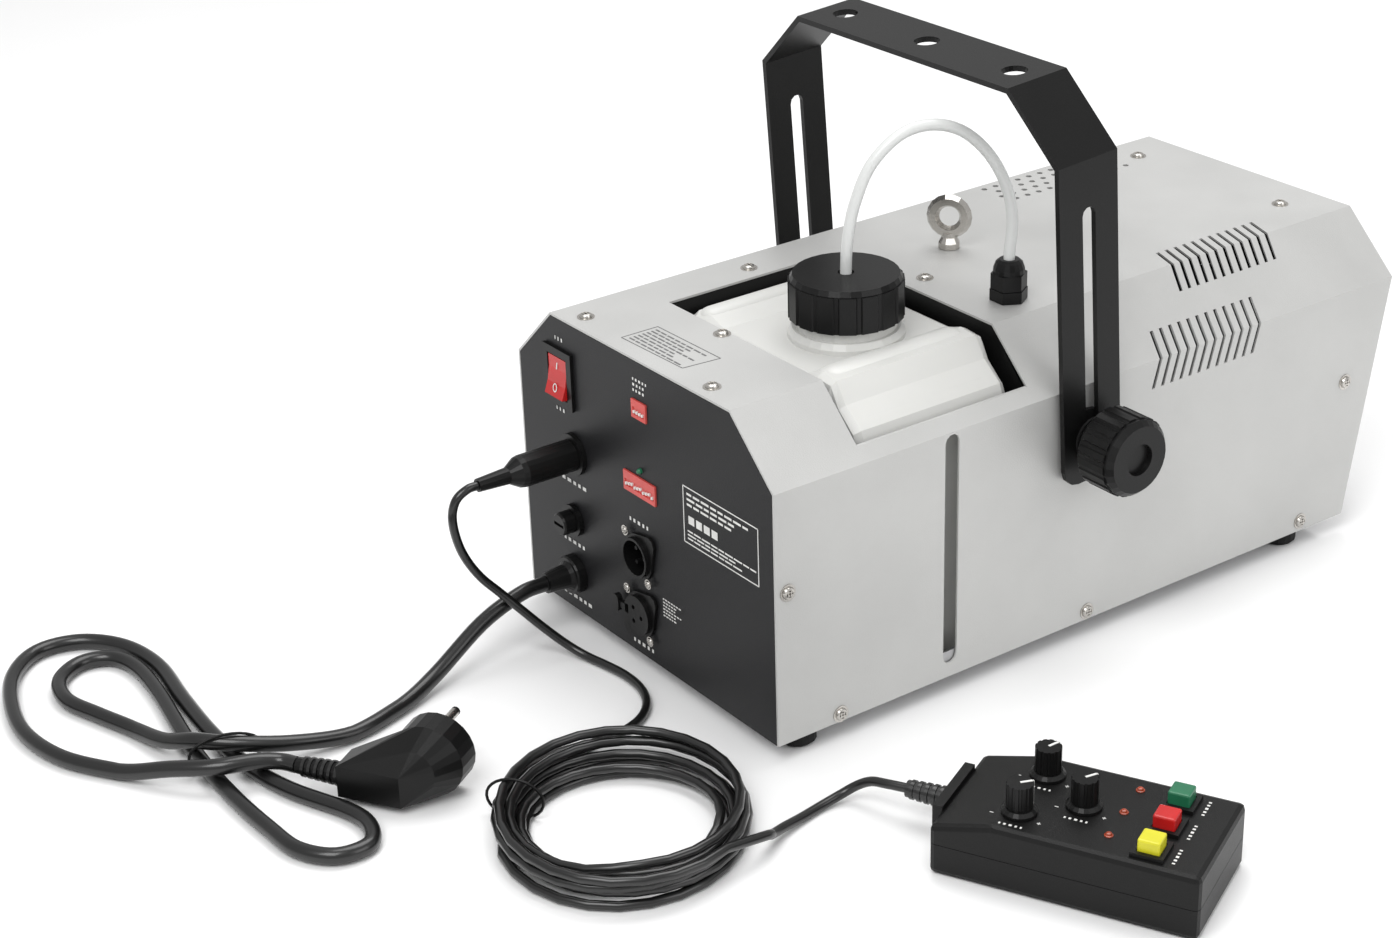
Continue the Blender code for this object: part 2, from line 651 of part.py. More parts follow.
def build_small_fittings(machine, black, red, green):
    """Coding switches, the lamp, the remote socket and the mains lead's strain relief."""
    x, z = DIP_PLACE
    dip = add("dip_switch", block_at((x, 0.0038, z), (0.028, 0.0094, 0.011)), red, machine)
    cut(dip, block_at((x, -0.0010, z - 0.0010), (0.0258, 0.0014, 0.0040)))
    x, z = WIRELESS_PLACE
    wireless = add("wireless_switch", block_at((x, 0.0038, z), (0.0125, 0.0094, 0.010)), red, machine)
    cut(wireless, block_at((x, -0.0010, z - 0.0010), (0.0100, 0.0014, 0.0040)))
    x, z = LED_PLACE
    lamp = [(0, -0.0024), (0.0009, -0.0021), (0.0015, -0.0010), (0.0015, 0.006), (0, 0.006)]
    add("status_led", turned(lamp, "Y", 16, (x, 0, z)), green, machine)
    x, z = SOCKET_PLACE
    rim = [
        (0.0116, -0.0030), (0.0116, -GAP), (0.0080, -GAP), (0.0080, 0.016), (0.0062, 0.016), (0.0062, -0.0030),
    ]
    add("remote_socket", turned(rim, "Y", 24, (x, 0, z)), black, machine)
    x, z = MAINS_PLACE
    gland = [(0, -0.0200), (0.0056, -0.0200), (0.0068, -0.0080), (0.0085, -0.0060), (0.0102, -0.0060),
             (0.0108, -0.0050), (0.0108, -GAP), (0.0070, -GAP), (0.0070, 0.010), (0, 0.010)]
    add("mains_gland", turned(gland, "Y", 20, (x, 0, z)), black, machine)


# Tank, hose and what lies inside -----------------------------------------------------------------


def build_well(machine, black):
    """The well that the tank stands in: open above, and open towards the level slot."""
    left, right = OPENING_X[0] - WELL_WALL - GAP, HALF - SHEET - 0.0022
    rear, front = OPENING_Y[0] - WELL_WALL - GAP, OPENING_Y[1] + WELL_WALL + GAP
    top = TOP_Z - SHEET - GAP
    outline = [
        (left, WELL_FLOOR_Z), (right, WELL_FLOOR_Z), (right, SIDE_Z - 0.003), (HALF_TOP - 0.001, top), (left, top)
    ]
    well = add("tank_well", prism(outline, rear, front, "Y"), black, machine)
    inner = block(
        (left + WELL_WALL, rear + WELL_WALL, WELL_FLOOR_Z + WELL_WALL), (HALF, front - WELL_WALL, TOP_Z + 0.01)
    )
    cut(well, inner)
    unite(
        well,
        block((left - 0.016, rear, top - WELL_WALL), (left + WELL_WALL / 2, front, top)),
        block((left - 0.016, rear - 0.009, top - WELL_WALL), (HALF_TOP - 0.006, rear + WELL_WALL / 2, top)),
    )


def tank_outline(inset):
    """The tank's section: a flat saddle between two raised shoulders, cut off along the chamfer."""
    left, right = TANK_X[0] + inset, TANK_X[1] - inset
    low = WELL_FLOOR_Z + WELL_WALL + GAP + inset
    return [
        (left + 0.004, low), (right - 0.004, low), (right, low + 0.004), (right, 0.1420 - inset / 2),
        (0.0960 - inset, 0.1560 - inset), (0.0840 - inset / 2, 0.1655 - inset), (0.0770, 0.1760 - inset),
        (0.0660, 0.1770 - inset), (0.0560, 0.1735 - inset), (-0.0150, 0.1735 - inset),
        (-0.0260, 0.1770 - inset), (-0.0370 + inset, 0.1770 - inset), (left, 0.1700 - inset), (left, low + 0.004),
    ]


def tank_body(wall):
    """The tank with rounded ends, drawn inwards by its wall for the hollow."""
    rounding = ((0, 0.0050), (0.0015, 0.0018), (0.0050, 0))
    stations = [(TANK_Y[0] + wall + step, wall + inset) for step, inset in rounding]
    stations += [(TANK_Y[1] - wall - step, wall + inset) for step, inset in reversed(rounding)]
    return bridged([[(x, y, z) for x, z in tank_outline(inset)] for y, inset in stations])


def build_tank(machine, plastic, black, rubber):
    """The hollow fluid tank, its screw cap and the seal under the cap."""
    tank = add("fluid_tank", tank_body(0), plastic, machine)
    x, y = CAP_AXIS
    neck = [(0, 0.169), (0.0305, 0.169), (0.0300, 0.176), (0.0280, NECK_BASE_Z), (NECK_RADIUS, NECK_BASE_Z),
            (NECK_RADIUS, NECK_TOP_Z), (0, NECK_TOP_Z)]
    unite(tank, turned(neck, "Z", 28, (x, y, 0)))
    cut(tank, tank_body(TANK_WALL))
    cut(tank, disc(NECK_BORE, 0.160, 0.210, "Z", 28, (x, y, 0)))
    seal_top = NECK_TOP_Z + 0.0016
    seal = ring(NECK_RADIUS - 0.0004, HOSE_HOLE, NECK_TOP_Z + GAP, seal_top, "Z", 24)
    add("cap_gasket", seal, rubber, machine, (x, y, 0))
    skirt = prism(ribbed(CAP_RADIUS, 0.0008, CAP_RIBS, 0.72), CAP_Z[0], CAP_Z[1] - 0.003, "Z")
    cap = add("tank_cap", skirt, black, machine, (x, y, 0))
    lid = [(0, 0.195), (CAP_RADIUS - 0.0010, 0.195), (CAP_RADIUS - 0.0010, CAP_Z[1] - 0.0026),
           (CAP_RADIUS - 0.0024, CAP_Z[1]), (0, CAP_Z[1])]
    unite(cap, turned(lid, "Z", 32))
    cut(cap, disc(NECK_RADIUS + 0.0004, 0.180, seal_top + GAP, "Z", 28))
    cut(cap, disc(HOSE_HOLE, 0.190, 0.220, "Z", 16))


def build_hose_gland(machine, black):
    """The gland on the lid: a six-sided base and a domed nut that closes on the hose."""
    x, y = HOSE_GLAND
    bore = HOSE_RADIUS + GAP
    base = add("gland_body", prism(circle((0, 0), 0.0100, 6), TOP_Z + GAP, TOP_Z + 0.0065, "Z"), black, machine,
               (x, y, 0))
    unite(base, disc(0.0065, TOP_Z - 0.009, TOP_Z + 0.0095, "Z", 16))
    cut(base, disc(bore, TOP_Z - 0.02, TOP_Z + 0.02, "Z", 12))
    nut = add("gland_nut", prism(circle((0, 0), 0.0096, 6), TOP_Z + 0.0068, TOP_Z + 0.0150, "Z"), black, machine,
              (x, y, 0))
    dome = [(0, TOP_Z + 0.0145), (0.0084, TOP_Z + 0.0145), (0.0082, TOP_Z + 0.0175), (0.0070, TOP_Z + 0.0208),
            (0.0052, TOP_Z + 0.0223), (0, TOP_Z + 0.0223)]
    unite(nut, turned(dome, "Z", 18))
    cut(nut, disc(0.0065 + GAP, TOP_Z, TOP_Z + 0.0098, "Z", 16))
    cut(nut, disc(bore, TOP_Z, TOP_Z + 0.03, "Z", 12))


def build_heater(machine, metal, steel, brass, black):
    """The heater in its jacket, which stands on two legs, and the nozzle with its guard."""
    heater = prism(rounded(0.090, 0.0814, 0.008, 3, (0, NOZZLE_Z)), *HEATER_Y, "Y")
    add("heater_block", heater, metal, machine)
    rear, front = HEATER_Y[0] - 0.006, HEATER_Y[1] + 0.006
    jacket = add("heater_jacket", prism(rounded(0.104, 0.084, 0.006, 2, (0, NOZZLE_Z)), rear, front, "Y"), steel,
                 machine)
    unite(jacket, *[block((-0.045, y, WELL_FLOOR_Z), (0.045, y + 0.0015, 0.0600)) for y in (0.245, 0.365)])
    cut(jacket, prism(rounded(0.102, 0.082, 0.005, 2, (0, NOZZLE_Z)), rear - 0.01, front + 0.01, "Y"))
    start = HEATER_Y[1] + GAP
    tip = BODY_LENGTH + 0.006
    profile = [(0.0070, start), (0.0070, tip - 0.017), (0.0092, tip - 0.016), (0.0092, tip), (0.0068, tip),
               (0.0068, tip - 0.009), (0.0016, tip - 0.009), (0.0016, start)]
    add("nozzle", turned(profile, "Y", 20, (0, 0, NOZZLE_Z)), brass, machine)
    guard = [(0.0300, tip - 0.034), (0.0300, tip + 0.002), (0.0280, tip + 0.002), (0.0280, tip - 0.032),
             (0.0100, tip - 0.032), (0.0100, tip - 0.034)]
    add("nozzle_guard", turned(guard, "Y", 32, (0, 0, NOZZLE_Z)), black, machine)


def build_pump_and_board(machine, black, board):
    """The pump on its foot and the control board on two feet."""
    x, y, z = PUMP_PLACE
    pump = add("pump", disc(0.017, y - 0.034, y + 0.034, "Y", 20, (x, 0, z)), black, machine)
    unite(
        pump,
        block((x - 0.015, y - 0.020, WELL_FLOOR_Z), (x + 0.015, y + 0.020, z - 0.005)),
        disc(0.004, y - 0.0405, y + 0.0405, "Y", 12, (x, 0, z)),
    )
    circuit = add("control_board", block((-0.045, 0.0360, 0.024), (0.085, 0.0376, 0.140)), board, machine)
    unite(circuit, *[block((x, 0.0300, WELL_FLOOR_Z), (x + 0.010, 0.0370, 0.030)) for x in (-0.040, 0.070)])


# Bracket -----------------------------------------------------------------------------------------


def build_bracket(machine, black):
    """The bracket: one bent strip with a slot down each leg and three fixing holes on top."""
    right = [(BRACKET_OUT, BRACKET_FOOT), (BRACKET_OUT, BRACKET_BEND_Z), (BRACKET_BEND_X, BRACKET_TOP)]
    inner = BRACKET_OUT - BRACKET_SHEET
    inner_right = [
        (inner, BRACKET_FOOT), (inner, BRACKET_BEND_Z - 0.0012),
        (BRACKET_BEND_X - 0.0012, BRACKET_TOP - BRACKET_SHEET)
    ]
    outline = right + [(-x, z) for x, z in reversed(right)]
    outline += [(-x, z) for x, z in inner_right] + inner_right[::-1]
    bm = prism(outline, -BRACKET_WIDTH / 2, BRACKET_WIDTH / 2, "Y")
    feet = [
        edge for edge in bm.edges
        if all(abs(vert.co.z - BRACKET_FOOT) < 1e-6 for vert in edge.verts)
        and abs(edge.verts[0].co.y - edge.verts[1].co.y) < 1e-6
    ]
    bmesh.ops.bevel(bm, geom=feet, offset=0.009, segments=3, affect="EDGES", profile=0.5)
    bracket = add("bracket", bm, black, machine, (0, PIVOT_Y, PIVOT_Z), (BRACKET_TILT, 0, 0))
    slot = stadium(0, LEG_SLOT[0], LEG_SLOT[1], LEG_SLOT_WIDTH)
    low, high = BRACKET_TOP - 0.01, BRACKET_TOP + 0.01
    holes = [disc(0.00675, low, high, "Z", 20, (x, 0, 0)) for x in (-0.0665, 0, 0.0665)]
    cut(bracket, prism(slot, -BRACKET_OUT - 0.01, BRACKET_OUT + 0.01, "X"), *holes)


def mirrored(points, sign):
    """A profile about the X axis, for the right side (+1) or the left side (-1)."""
    return [(radius, sign * x) for radius, x in points]


def build_clamp(machine, side, sign, black, rubber, steel):
    """A stud from the casing with its nut inside, then a spacer, a washer and the clamp knob."""
    place = (0, PIVOT_Y, PIVOT_Z)
    bore = STUD_RADIUS + GAP
    inside = HALF - SHEET - GAP
    stud = add(f"pivot_stud_{side}", disc(STUD_RADIUS, sign * 0.102, sign * 0.138, "X", 12), steel, machine, place)
    unite(stud, disc(0.0075, sign * (inside - 0.0055), sign * inside, "X", 6))
    for name, radius, low, high, material in (
        ("spacer", 0.0150, HALF + GAP, BRACKET_OUT - BRACKET_SHEET - GAP, rubber),
        ("washer", 0.0120, BRACKET_OUT + GAP, BRACKET_OUT + 0.0017, steel),
    ):
        add(f"{name}_{side}", ring(radius, bore, sign * low, sign * high, "X", 20), material, machine, place)

    back, face = sign * (KNOB_BACK + 0.002), sign * (KNOB_FACE - 0.0045)
    grip = prism(ribbed(KNOB_RADIUS, 0.0007, KNOB_RIBS), back, face, "X")
    knob = add(f"clamp_knob_{side}", grip, black, machine, place)
    rim = KNOB_RADIUS - 0.0009
    core = [(0, BRACKET_OUT + 0.002), (0.0115, BRACKET_OUT + 0.002), (0.0125, KNOB_BACK - 0.001),
            (rim - 0.001, KNOB_BACK),
            (rim, KNOB_BACK + 0.0015), (rim, KNOB_FACE - 0.003), (rim - 0.0026, KNOB_FACE), (0.0085, KNOB_FACE),
            (0.0080, KNOB_FACE - 0.003), (0, KNOB_FACE - 0.003)]
    unite(knob, turned(mirrored(core, sign), "X", 30))
    cut(knob, disc(bore, sign * BRACKET_OUT, sign * 0.1383, "X", 12))


# Cords and plugs ---------------------------------------------------------------------------------


def plug_loop(centre, radius, segments=24):
    """Points round the plug's body: the loop stands upright and takes in the cable's direction."""
    return [centre + PLUG_HEADING * a + Vector((0, 0, b)) for a, b in circle((0, 0), radius, segments)]


def build_mains_lead(machine, black):
    """The mains lead and its angled earthed plug, lying on its rim with the pins level."""
    tube("mains_cord", MAINS_ROUTE, MAINS_RADIUS, black, machine)
    facing = Vector((-PLUG_HEADING.y, PLUG_HEADING.x, 0))
    rim = [plug_loop(PLUG_CENTRE + facing * d, PLUG_RADIUS) for d in (-0.001, 0.013)]
    back = plug_loop(PLUG_CENTRE - facing * 0.013 - PLUG_HEADING * 0.002, 0.012)
    entry = [
        PLUG_ENTRY + PLUG_HEADING * u + facing * a + Vector((0, 0, b))
        for u in (0, 0.034) for a in (-0.0085, 0.0085) for b in (-0.0075, 0.0095)
    ]
    plug = add("mains_plug", hull(rim[0] + back + entry), black, machine)
    sleeve = [
        [PLUG_ENTRY + PLUG_HEADING * u + facing * (r * a) + Vector((0, 0, r * b))
         for a, b in circle((0, 0), 1, 12)]
        for u, r in ((GAP - 0.0263, 0.0042), (0.003, 0.0058))
    ]
    unite(plug, bridged(rim), bridged(sleeve))
    for height in (-0.0095, 0.0095):
        base = PLUG_CENTRE + facing * 0.012 + Vector((0, 0, height))
        pin = disc(0.0024, 0, 0.020, "Y", 10)
        unite(plug, moved(turned_by(pin, math.atan2(-facing.x, facing.y), "Z"), base))


def build_remote_lead(machine, black):
    """The remote control's lead: its plug in the socket, a straight stretch, the coil and the tail."""
    x, z = SOCKET_PLACE
    plug = [
        (0, -0.0600), (0.0036, -0.0600), (0.0046, -0.0420), (0.0082, -0.0360), (0.0088, -0.0330),
        (0.0088, -0.0034), (0.0058, -0.0034), (0.0058, 0.008), (0, 0.008),
    ]
    add("remote_plug", turned(plug, "Y", 20, (x, 0, z)), black, machine)
    tube("remote_lead", LEAD_ROUTE, REMOTE_RADIUS, black, machine)
    edge = 0.006
    loops = []
    for share, height in (
        (0.12, 0), (0.88, 0), (1, edge), (1, COIL_HEIGHT - edge), (0.85, COIL_HEIGHT), (0.15, COIL_HEIGHT),
        (0, COIL_HEIGHT - edge), (0, edge),
    ):
        half_x, half_y = (low + (high - low) * share for low, high in zip(COIL_INNER, COIL_OUTER))
        loops.append([(half_x * a, half_y * b, height) for a, b in circle((0, 0), 1, 32)])
    coil = turned_by(bridged(loops, closed=True), COIL_TURN, "Z")
    add("remote_coil", coil, black, machine, (*COIL_CENTRE, 0))
    tube("remote_tail", TAIL_ROUTE, REMOTE_RADIUS, black, machine)


# Remote control ----------------------------------------------------------------------------------


def handset_outline(inset, low, high_end, high):
    """The handset from the side: full height, falling towards the cord end."""
    half = HANDSET_LENGTH / 2 - inset
    return [
        (-half, low), (half, low), (half, high), (-half + HANDSET_SLOPE, high), (-half, high_end)
    ]


def handset_shell(low, high_end, high, flat_z):
    """A closed shell of the remote control, rounded but where it meets the other one, with its cable boss."""
    half = HANDSET_WIDTH / 2
    shell = prism(handset_outline(0, low, high_end, high), -half, half, "Y")
    return softened(shell, 0.0028, flat_z)


def handset_boss(low, high):
    """The flat boss on the cord end."""
    depth, width, _ = HANDSET_BOSS
    end = -HANDSET_LENGTH / 2
    return block((end - depth, -width / 2, low), (end + 0.001, width / 2, high))


def build_handset(handset, black, board):
    """The two shells of the remote control and the board between them."""
    half = HANDSET_WIDTH / 2
    wall = HANDSET_WALL
    split = HANDSET_SPLIT
    y, z = RELIEF_PLACE
    end = -HANDSET_LENGTH / 2

    upper = add("handset_top", handset_shell(split + GAP, HANDSET_END_HEIGHT, HANDSET_HEIGHT, split + GAP), black,
                handset)
    unite(upper, handset_boss(split + GAP, HANDSET_BOSS[2]))
    for place in BUTTON_PLACES:
        bezel = (BEZEL_SIDE, BEZEL_SIDE, BEZEL_HEIGHT + 0.001)
        unite(upper, block_at((*place, HANDSET_HEIGHT + (BEZEL_HEIGHT - 0.001) / 2), bezel))
    inside = handset_outline(wall, split - 0.005, HANDSET_END_HEIGHT - wall, HANDSET_HEIGHT - wall)
    cut(upper, prism(inside, -half + wall, half - wall, "Y"))
    hole = BUTTON_SIDE + 2 * GAP
    holes = [block_at((*place, HANDSET_HEIGHT), (hole, hole, 0.02)) for place in BUTTON_PLACES]
    holes += [disc(0.0033, -0.008, 0.007, "Z", 12, (*place, HANDSET_HEIGHT)) for place in DIAL_PLACES]
    cut(upper, *holes)
    cut(upper, disc(0.0028, end - 0.01, end + 0.01, "X", 12, (0, y, z)))

    lower = add("handset_base", handset_shell(0, split, split, split), black, handset)
    unite(lower, handset_boss(0.004, split))
    cut(lower, block((end + wall, -half + wall, wall), (-end - wall, half - wall, split + 0.01)))
    cut(lower, disc(0.0028, end - 0.01, end + 0.01, "X", 12, (0, y, z)))

    size = (HANDSET_LENGTH - 0.012, HANDSET_WIDTH - 0.008, 0.0016)
    circuit = add("handset_board", block_at((0.003, 0, split), size), board, handset)
    shaft_top = HANDSET_HEIGHT + 0.009
    for place in DIAL_PLACES:
        centre = (*place, 0)
        unite(circuit, disc(0.0070, split + 0.0003, split + 0.0090, "Z", 10, centre))
        unite(circuit, disc(0.0029, split + 0.0080, shaft_top, "Z", 10, centre))
    for place in BUTTON_PLACES:
        unite(circuit, block_at((*place, split + 0.0027), (0.0080, 0.0080, 0.0048)))


def build_handset_controls(handset, black, colours):
    """Three dials with skirts, three square push buttons and the lead's relief."""
    for number, (x, y) in enumerate(DIAL_PLACES, 1):
        grip = prism(ribbed(0.0063, 0.0005, 12), 0.0015, 0.0155, "Z")
        dial = add(f"dial_{number}", grip, black, handset, (x, y, HANDSET_HEIGHT + GAP))
        unite(dial, turned([(0, 0), (0.0085, 0), (0.0085, 0.0014), (0.0070, 0.0030), (0, 0.0030)], "Z", 20))
        cut(dial, disc(0.0032, -0.005, 0.0115, "Z", 12))
    top = HANDSET_HEIGHT + BEZEL_HEIGHT + 0.0060
    for (name, colour), (x, y) in zip(colours, BUTTON_PLACES):
        low = HANDSET_HEIGHT - 0.0072
        button = add(name, block_at((0, 0, (low + top) / 2), (BUTTON_SIDE, BUTTON_SIDE, top - low)), colour,
                     handset, (x, y, 0))
        bevel(button, 0.0009, 2, 60)
    y, z = RELIEF_PLACE
    start = -HANDSET_LENGTH / 2 - HANDSET_BOSS[0] - GAP
    end = start - RELIEF_LENGTH
    relief = [
        (0, end), (0.0042, end), (0.0050, start), (0.0024, start), (0.0024, start + 0.012), (0, start + 0.012),
    ]
    add("handset_relief", turned(relief, "X", 20, (0, y, z)), black, handset)


def main():
    clear_scene()
    silver = finish("silver_paint", (0.62, 0.62, 0.61), 0.45, 0.25)
    charcoal = finish("charcoal_paint", (0.035, 0.035, 0.036), 0.50)
    satin = finish("satin_black_paint", (0.012, 0.012, 0.012), 0.42)
    plastic = finish("black_plastic", (0.015, 0.015, 0.015), 0.38)
    rubber = finish("black_rubber", (0.020, 0.020, 0.020), 0.70)
    milky = finish("milky_plastic", (0.80, 0.80, 0.78), 0.35)
    hose_white = finish("clear_hose", (0.78, 0.78, 0.76), 0.25)
    steel = finish("plated_steel", (0.45, 0.44, 0.42), 0.25, 1.0)
    galvanised = finish("galvanised_steel", (0.50, 0.50, 0.50), 0.45, 1.0)
    cast = finish("cast_aluminium", (0.55, 0.55, 0.55), 0.50, 1.0)
    brass = finish("brass", (0.60, 0.44, 0.18), 0.30, 1.0)
    board = finish("circuit_board", (0.02, 0.12, 0.05), 0.50)
    red = finish("red_plastic", (0.55, 0.02, 0.02), 0.30)
    green = finish("green_plastic", (0.02, 0.16, 0.08), 0.35)
    yellow = finish("yellow_plastic", (0.60, 0.55, 0.02), 0.35)

    machine = empty("machine", MACHINE_PLACE)
    build_cover(machine, silver)
    build_base(machine, galvanised)
    build_rear_panel(machine, charcoal)
    build_front_panel(machine, charcoal)
    build_feet(machine, rubber)
    build_eye_bolt(machine, steel)
    build_switch(machine, plastic, red)
    build_fuse(machine, plastic)
    build_signal_sockets(machine, plastic)
    build_small_fittings(machine, plastic, red, green)
    build_well(machine, satin)
    build_tank(machine, milky, plastic, rubber)
    build_hose_gland(machine, plastic)
    tube("feed_hose", HOSE_ROUTE, HOSE_RADIUS, hose_white, machine)
    tube("suction_line", LINE_ROUTE, HOSE_RADIUS, hose_white, machine)
    build_heater(machine, cast, galvanised, brass, satin)
    build_pump_and_board(machine, plastic, board)
    build_bracket(machine, satin)
    build_clamp(machine, "left", -1, plastic, rubber, steel)
    build_clamp(machine, "right", 1, plastic, rubber, steel)
    build_mains_lead(machine, rubber)
    build_remote_lead(machine, rubber)

    place = [m + h for m, h in zip(MACHINE_PLACE, HANDSET_PLACE)]
    handset = empty("handset", place, HANDSET_TURN)
    build_handset(handset, plastic, board)
    buttons = (("button_green", green), ("button_red", red), ("button_yellow", yellow))
    build_handset_controls(handset, plastic, buttons)


main()
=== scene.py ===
"""The looks of a fog machine with its wired remote control, on the frame that the CAD part gives."""

import math

import bmesh
import bpy
from mathutils import Matrix, Vector


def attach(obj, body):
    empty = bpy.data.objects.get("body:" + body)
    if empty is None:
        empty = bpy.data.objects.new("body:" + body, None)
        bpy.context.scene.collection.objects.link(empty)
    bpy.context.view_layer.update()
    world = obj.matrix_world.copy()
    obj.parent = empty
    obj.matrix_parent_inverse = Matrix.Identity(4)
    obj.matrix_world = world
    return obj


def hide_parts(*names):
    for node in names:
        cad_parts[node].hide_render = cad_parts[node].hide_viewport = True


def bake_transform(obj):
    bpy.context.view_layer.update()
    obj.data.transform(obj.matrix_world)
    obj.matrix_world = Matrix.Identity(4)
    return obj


# Places and sizes, in metres. The machine's own origin is its rear edge's middle, on the floor.
MACHINE = Vector((-0.0940, -0.2080, 0.0))
HANDSET = MACHINE + Vector((0.2689, 0.0572, 0.0))
HANDSET_TURN = math.radians(26.9)
TOP_Z = 0.180
SIDE_X = 0.112

# Camera
CAMERA_PLACE = Vector((0.8992, -0.8648, 0.6973))
CAMERA_TURN = math.radians(55.44)
CAMERA_HEIGHT = math.radians(25.54)
CAMERA_ROLL = math.radians(-2.049)
CAMERA_LENS = 67.82
CAMERA_SHIFT = (0.00878, -0.01253)

# Mains lead: out of the gland, down to the floor and through its tied loops to the plug
MAINS_DIAMETER = 0.0084
MAINS_ROUTE = (
    (-0.0658, -0.0203, 0.0330), (-0.0655, -0.0360, 0.0324), (-0.0635, -0.0620, 0.0245),
    (-0.0560, -0.0960, 0.0090), (-0.0470, -0.1220, 0.0042), (-0.0388, -0.1540, 0.0042),
    (-0.0430, -0.1870, 0.0092), (-0.0560, -0.2145, 0.0134), (-0.0700, -0.2270, 0.0130),
    (-0.0880, -0.2350, 0.0072), (-0.1120, -0.2405, 0.0042), (-0.1370, -0.2490, 0.0042),
    (-0.1610, -0.2560, 0.0042), (-0.1820, -0.2510, 0.0042), (-0.1925, -0.2350, 0.0042),
    (-0.1870, -0.2190, 0.0042), (-0.1690, -0.2130, 0.0042), (-0.1390, -0.2150, 0.0042),
    (-0.1000, -0.2215, 0.0042), (-0.0620, -0.2270, 0.0042), (-0.0220, -0.2290, 0.0042),
    (0.0120, -0.2280, 0.0042), (0.0360, -0.2255, 0.0042), (0.0520, -0.2140, 0.0042),
    (0.0535, -0.1970, 0.0042), (0.0400, -0.1890, 0.0042), (0.0220, -0.1905, 0.0042),
    (-0.0120, -0.2040, 0.0042), (-0.0450, -0.2105, 0.0042), (-0.0850, -0.2110, 0.0042),
    (-0.1250, -0.2075, 0.0042), (-0.1640, -0.2028, 0.0042), (-0.1950, -0.2085, 0.0042),
    (-0.2150, -0.2250, 0.0042), (-0.2190, -0.2480, 0.0042), (-0.2030, -0.2680, 0.0042),
    (-0.1740, -0.2810, 0.0042), (-0.1420, -0.2865, 0.0042), (-0.1090, -0.2805, 0.0042),
    (-0.0800, -0.2635, 0.0042), (-0.0570, -0.2465, 0.0104), (-0.0400, -0.2300, 0.0134),
    (-0.0325, -0.2120, 0.0134), (-0.0272, -0.2010, 0.0118), (-0.0196, -0.1959, 0.0115),
)

# Plug of the mains lead: the way it points, where the lead goes in, its head's middle, and its pins
PLUG_HEADING = Vector((0.839, 0.544, 0.0))
PLUG_ENTRY = (0.0028, -0.1814, 0.0115)
PLUG_HEAD = (0.0285, -0.1490, 0.0197)
PLUG_HEAD_TO_FACE = 0.0135
PLUG_RIBS = 6
PIN_HEIGHTS = (-0.0095, 0.0095)
PIN_PROFILE = [(0, 0), (0.00245, 0), (0.00245, 0.0165), (0.0019, 0.0182), (0.0008, 0.0188), (0, 0.0188)]

# Feed hose: up out of the tank, over in an arch and down into the gland
HOSE_DIAMETER = 0.006
HOSE_ROUTE = (
    (0.0290, 0.1100, 0.0300), (0.0290, 0.1100, 0.0750), (0.0290, 0.1100, 0.1200),
    (0.0290, 0.1100, 0.1650), (0.0290, 0.1100, 0.2080), (0.0295, 0.1113, 0.2270),
    (0.0308, 0.1150, 0.2440), (0.0335, 0.1228, 0.2620), (0.0385, 0.1368, 0.2755),
    (0.0440, 0.1520, 0.2790), (0.0495, 0.1675, 0.2740), (0.0545, 0.1815, 0.2600),
    (0.0580, 0.1910, 0.2410), (0.0593, 0.1941, 0.2220), (0.0592, 0.1926, 0.2050),
    (0.0592, 0.1926, 0.1880), (0.0592, 0.1926, 0.1700),
)

# Remote lead: from its plug to the floor, then the coil, then the way on to the remote control
REMOTE_DIAMETER = 0.0048
LEAD_ROUTE = (
    (-0.0610, -0.0603, 0.1056), (-0.0611, -0.0660, 0.1052), (-0.0617, -0.0725, 0.1010),
    (-0.0627, -0.0750, 0.0920), (-0.0643, -0.0730, 0.0790), (-0.0656, -0.0680, 0.0650),
    (-0.0650, -0.0600, 0.0510), (-0.0610, -0.0510, 0.0400), (-0.0550, -0.0420, 0.0290),
    (-0.0490, -0.0330, 0.0180), (-0.0420, -0.0240, 0.0080), (-0.0320, -0.0180, 0.0030),
    (-0.0180, -0.0145, 0.0024), (-0.0020, -0.0125, 0.0024), (0.0140, -0.0142, 0.0024),
    (0.0280, -0.0210, 0.0024), (0.0380, -0.0330, 0.0024), (0.0425, -0.0500, 0.0024),
    (0.0425, -0.0700, 0.0024),
)
TAIL_ROUTE = (
    (0.1665, -0.0455, 0.0068), (0.1625, -0.0350, 0.0046), (0.1593, -0.0225, 0.0029),
    (0.1568, -0.0085, 0.0026), (0.1575, 0.0030, 0.0048), (0.1615, 0.0095, 0.0092),
    (0.1685, 0.0125, 0.0138), (0.1770, 0.0147, 0.0159), (0.1867, 0.0194, 0.0165),
)
COIL_CENTRE = Vector((0.112, -0.0918, 0.0))
COIL_TURN = math.radians(-34.5)
COIL_OUTER = (0.0701, 0.0614)
COIL_INNER = (0.0384, 0.0449)
COIL_START = math.radians(219.5)
# Each stage's turns, its share from inner (0) to outer (1) at start and end, and its height
COIL_STAGES = (
    (2.52, 1.0, 0.0, 0.0024), (2.52, 0.0, 1.0, 0.0074), (1.26, 1.0, 0.5, 0.0124), (1.26, 0.5, 1.0, 0.0173),
)
COIL_STEPS = 26
COIL_CLIMB = 0.12  # the part of a turn in which the lead climbs to its stage's height

# Ties: the middle, the way the cords run there, and the loop's half width and half height
TIE_DIAMETER = 0.0015
TIE_LOWEST = 0.0009
TIE_STEPS = 28
TIES = {
    "mains_tie": ((-0.0560, -0.2165, 0.0092), (0.96, -0.26), (0.0185, 0.0098)),
    "coil_tie": ((0.0705, -0.1265, 0.0100), (0.62, -0.78), (0.0145, 0.0108)),
}

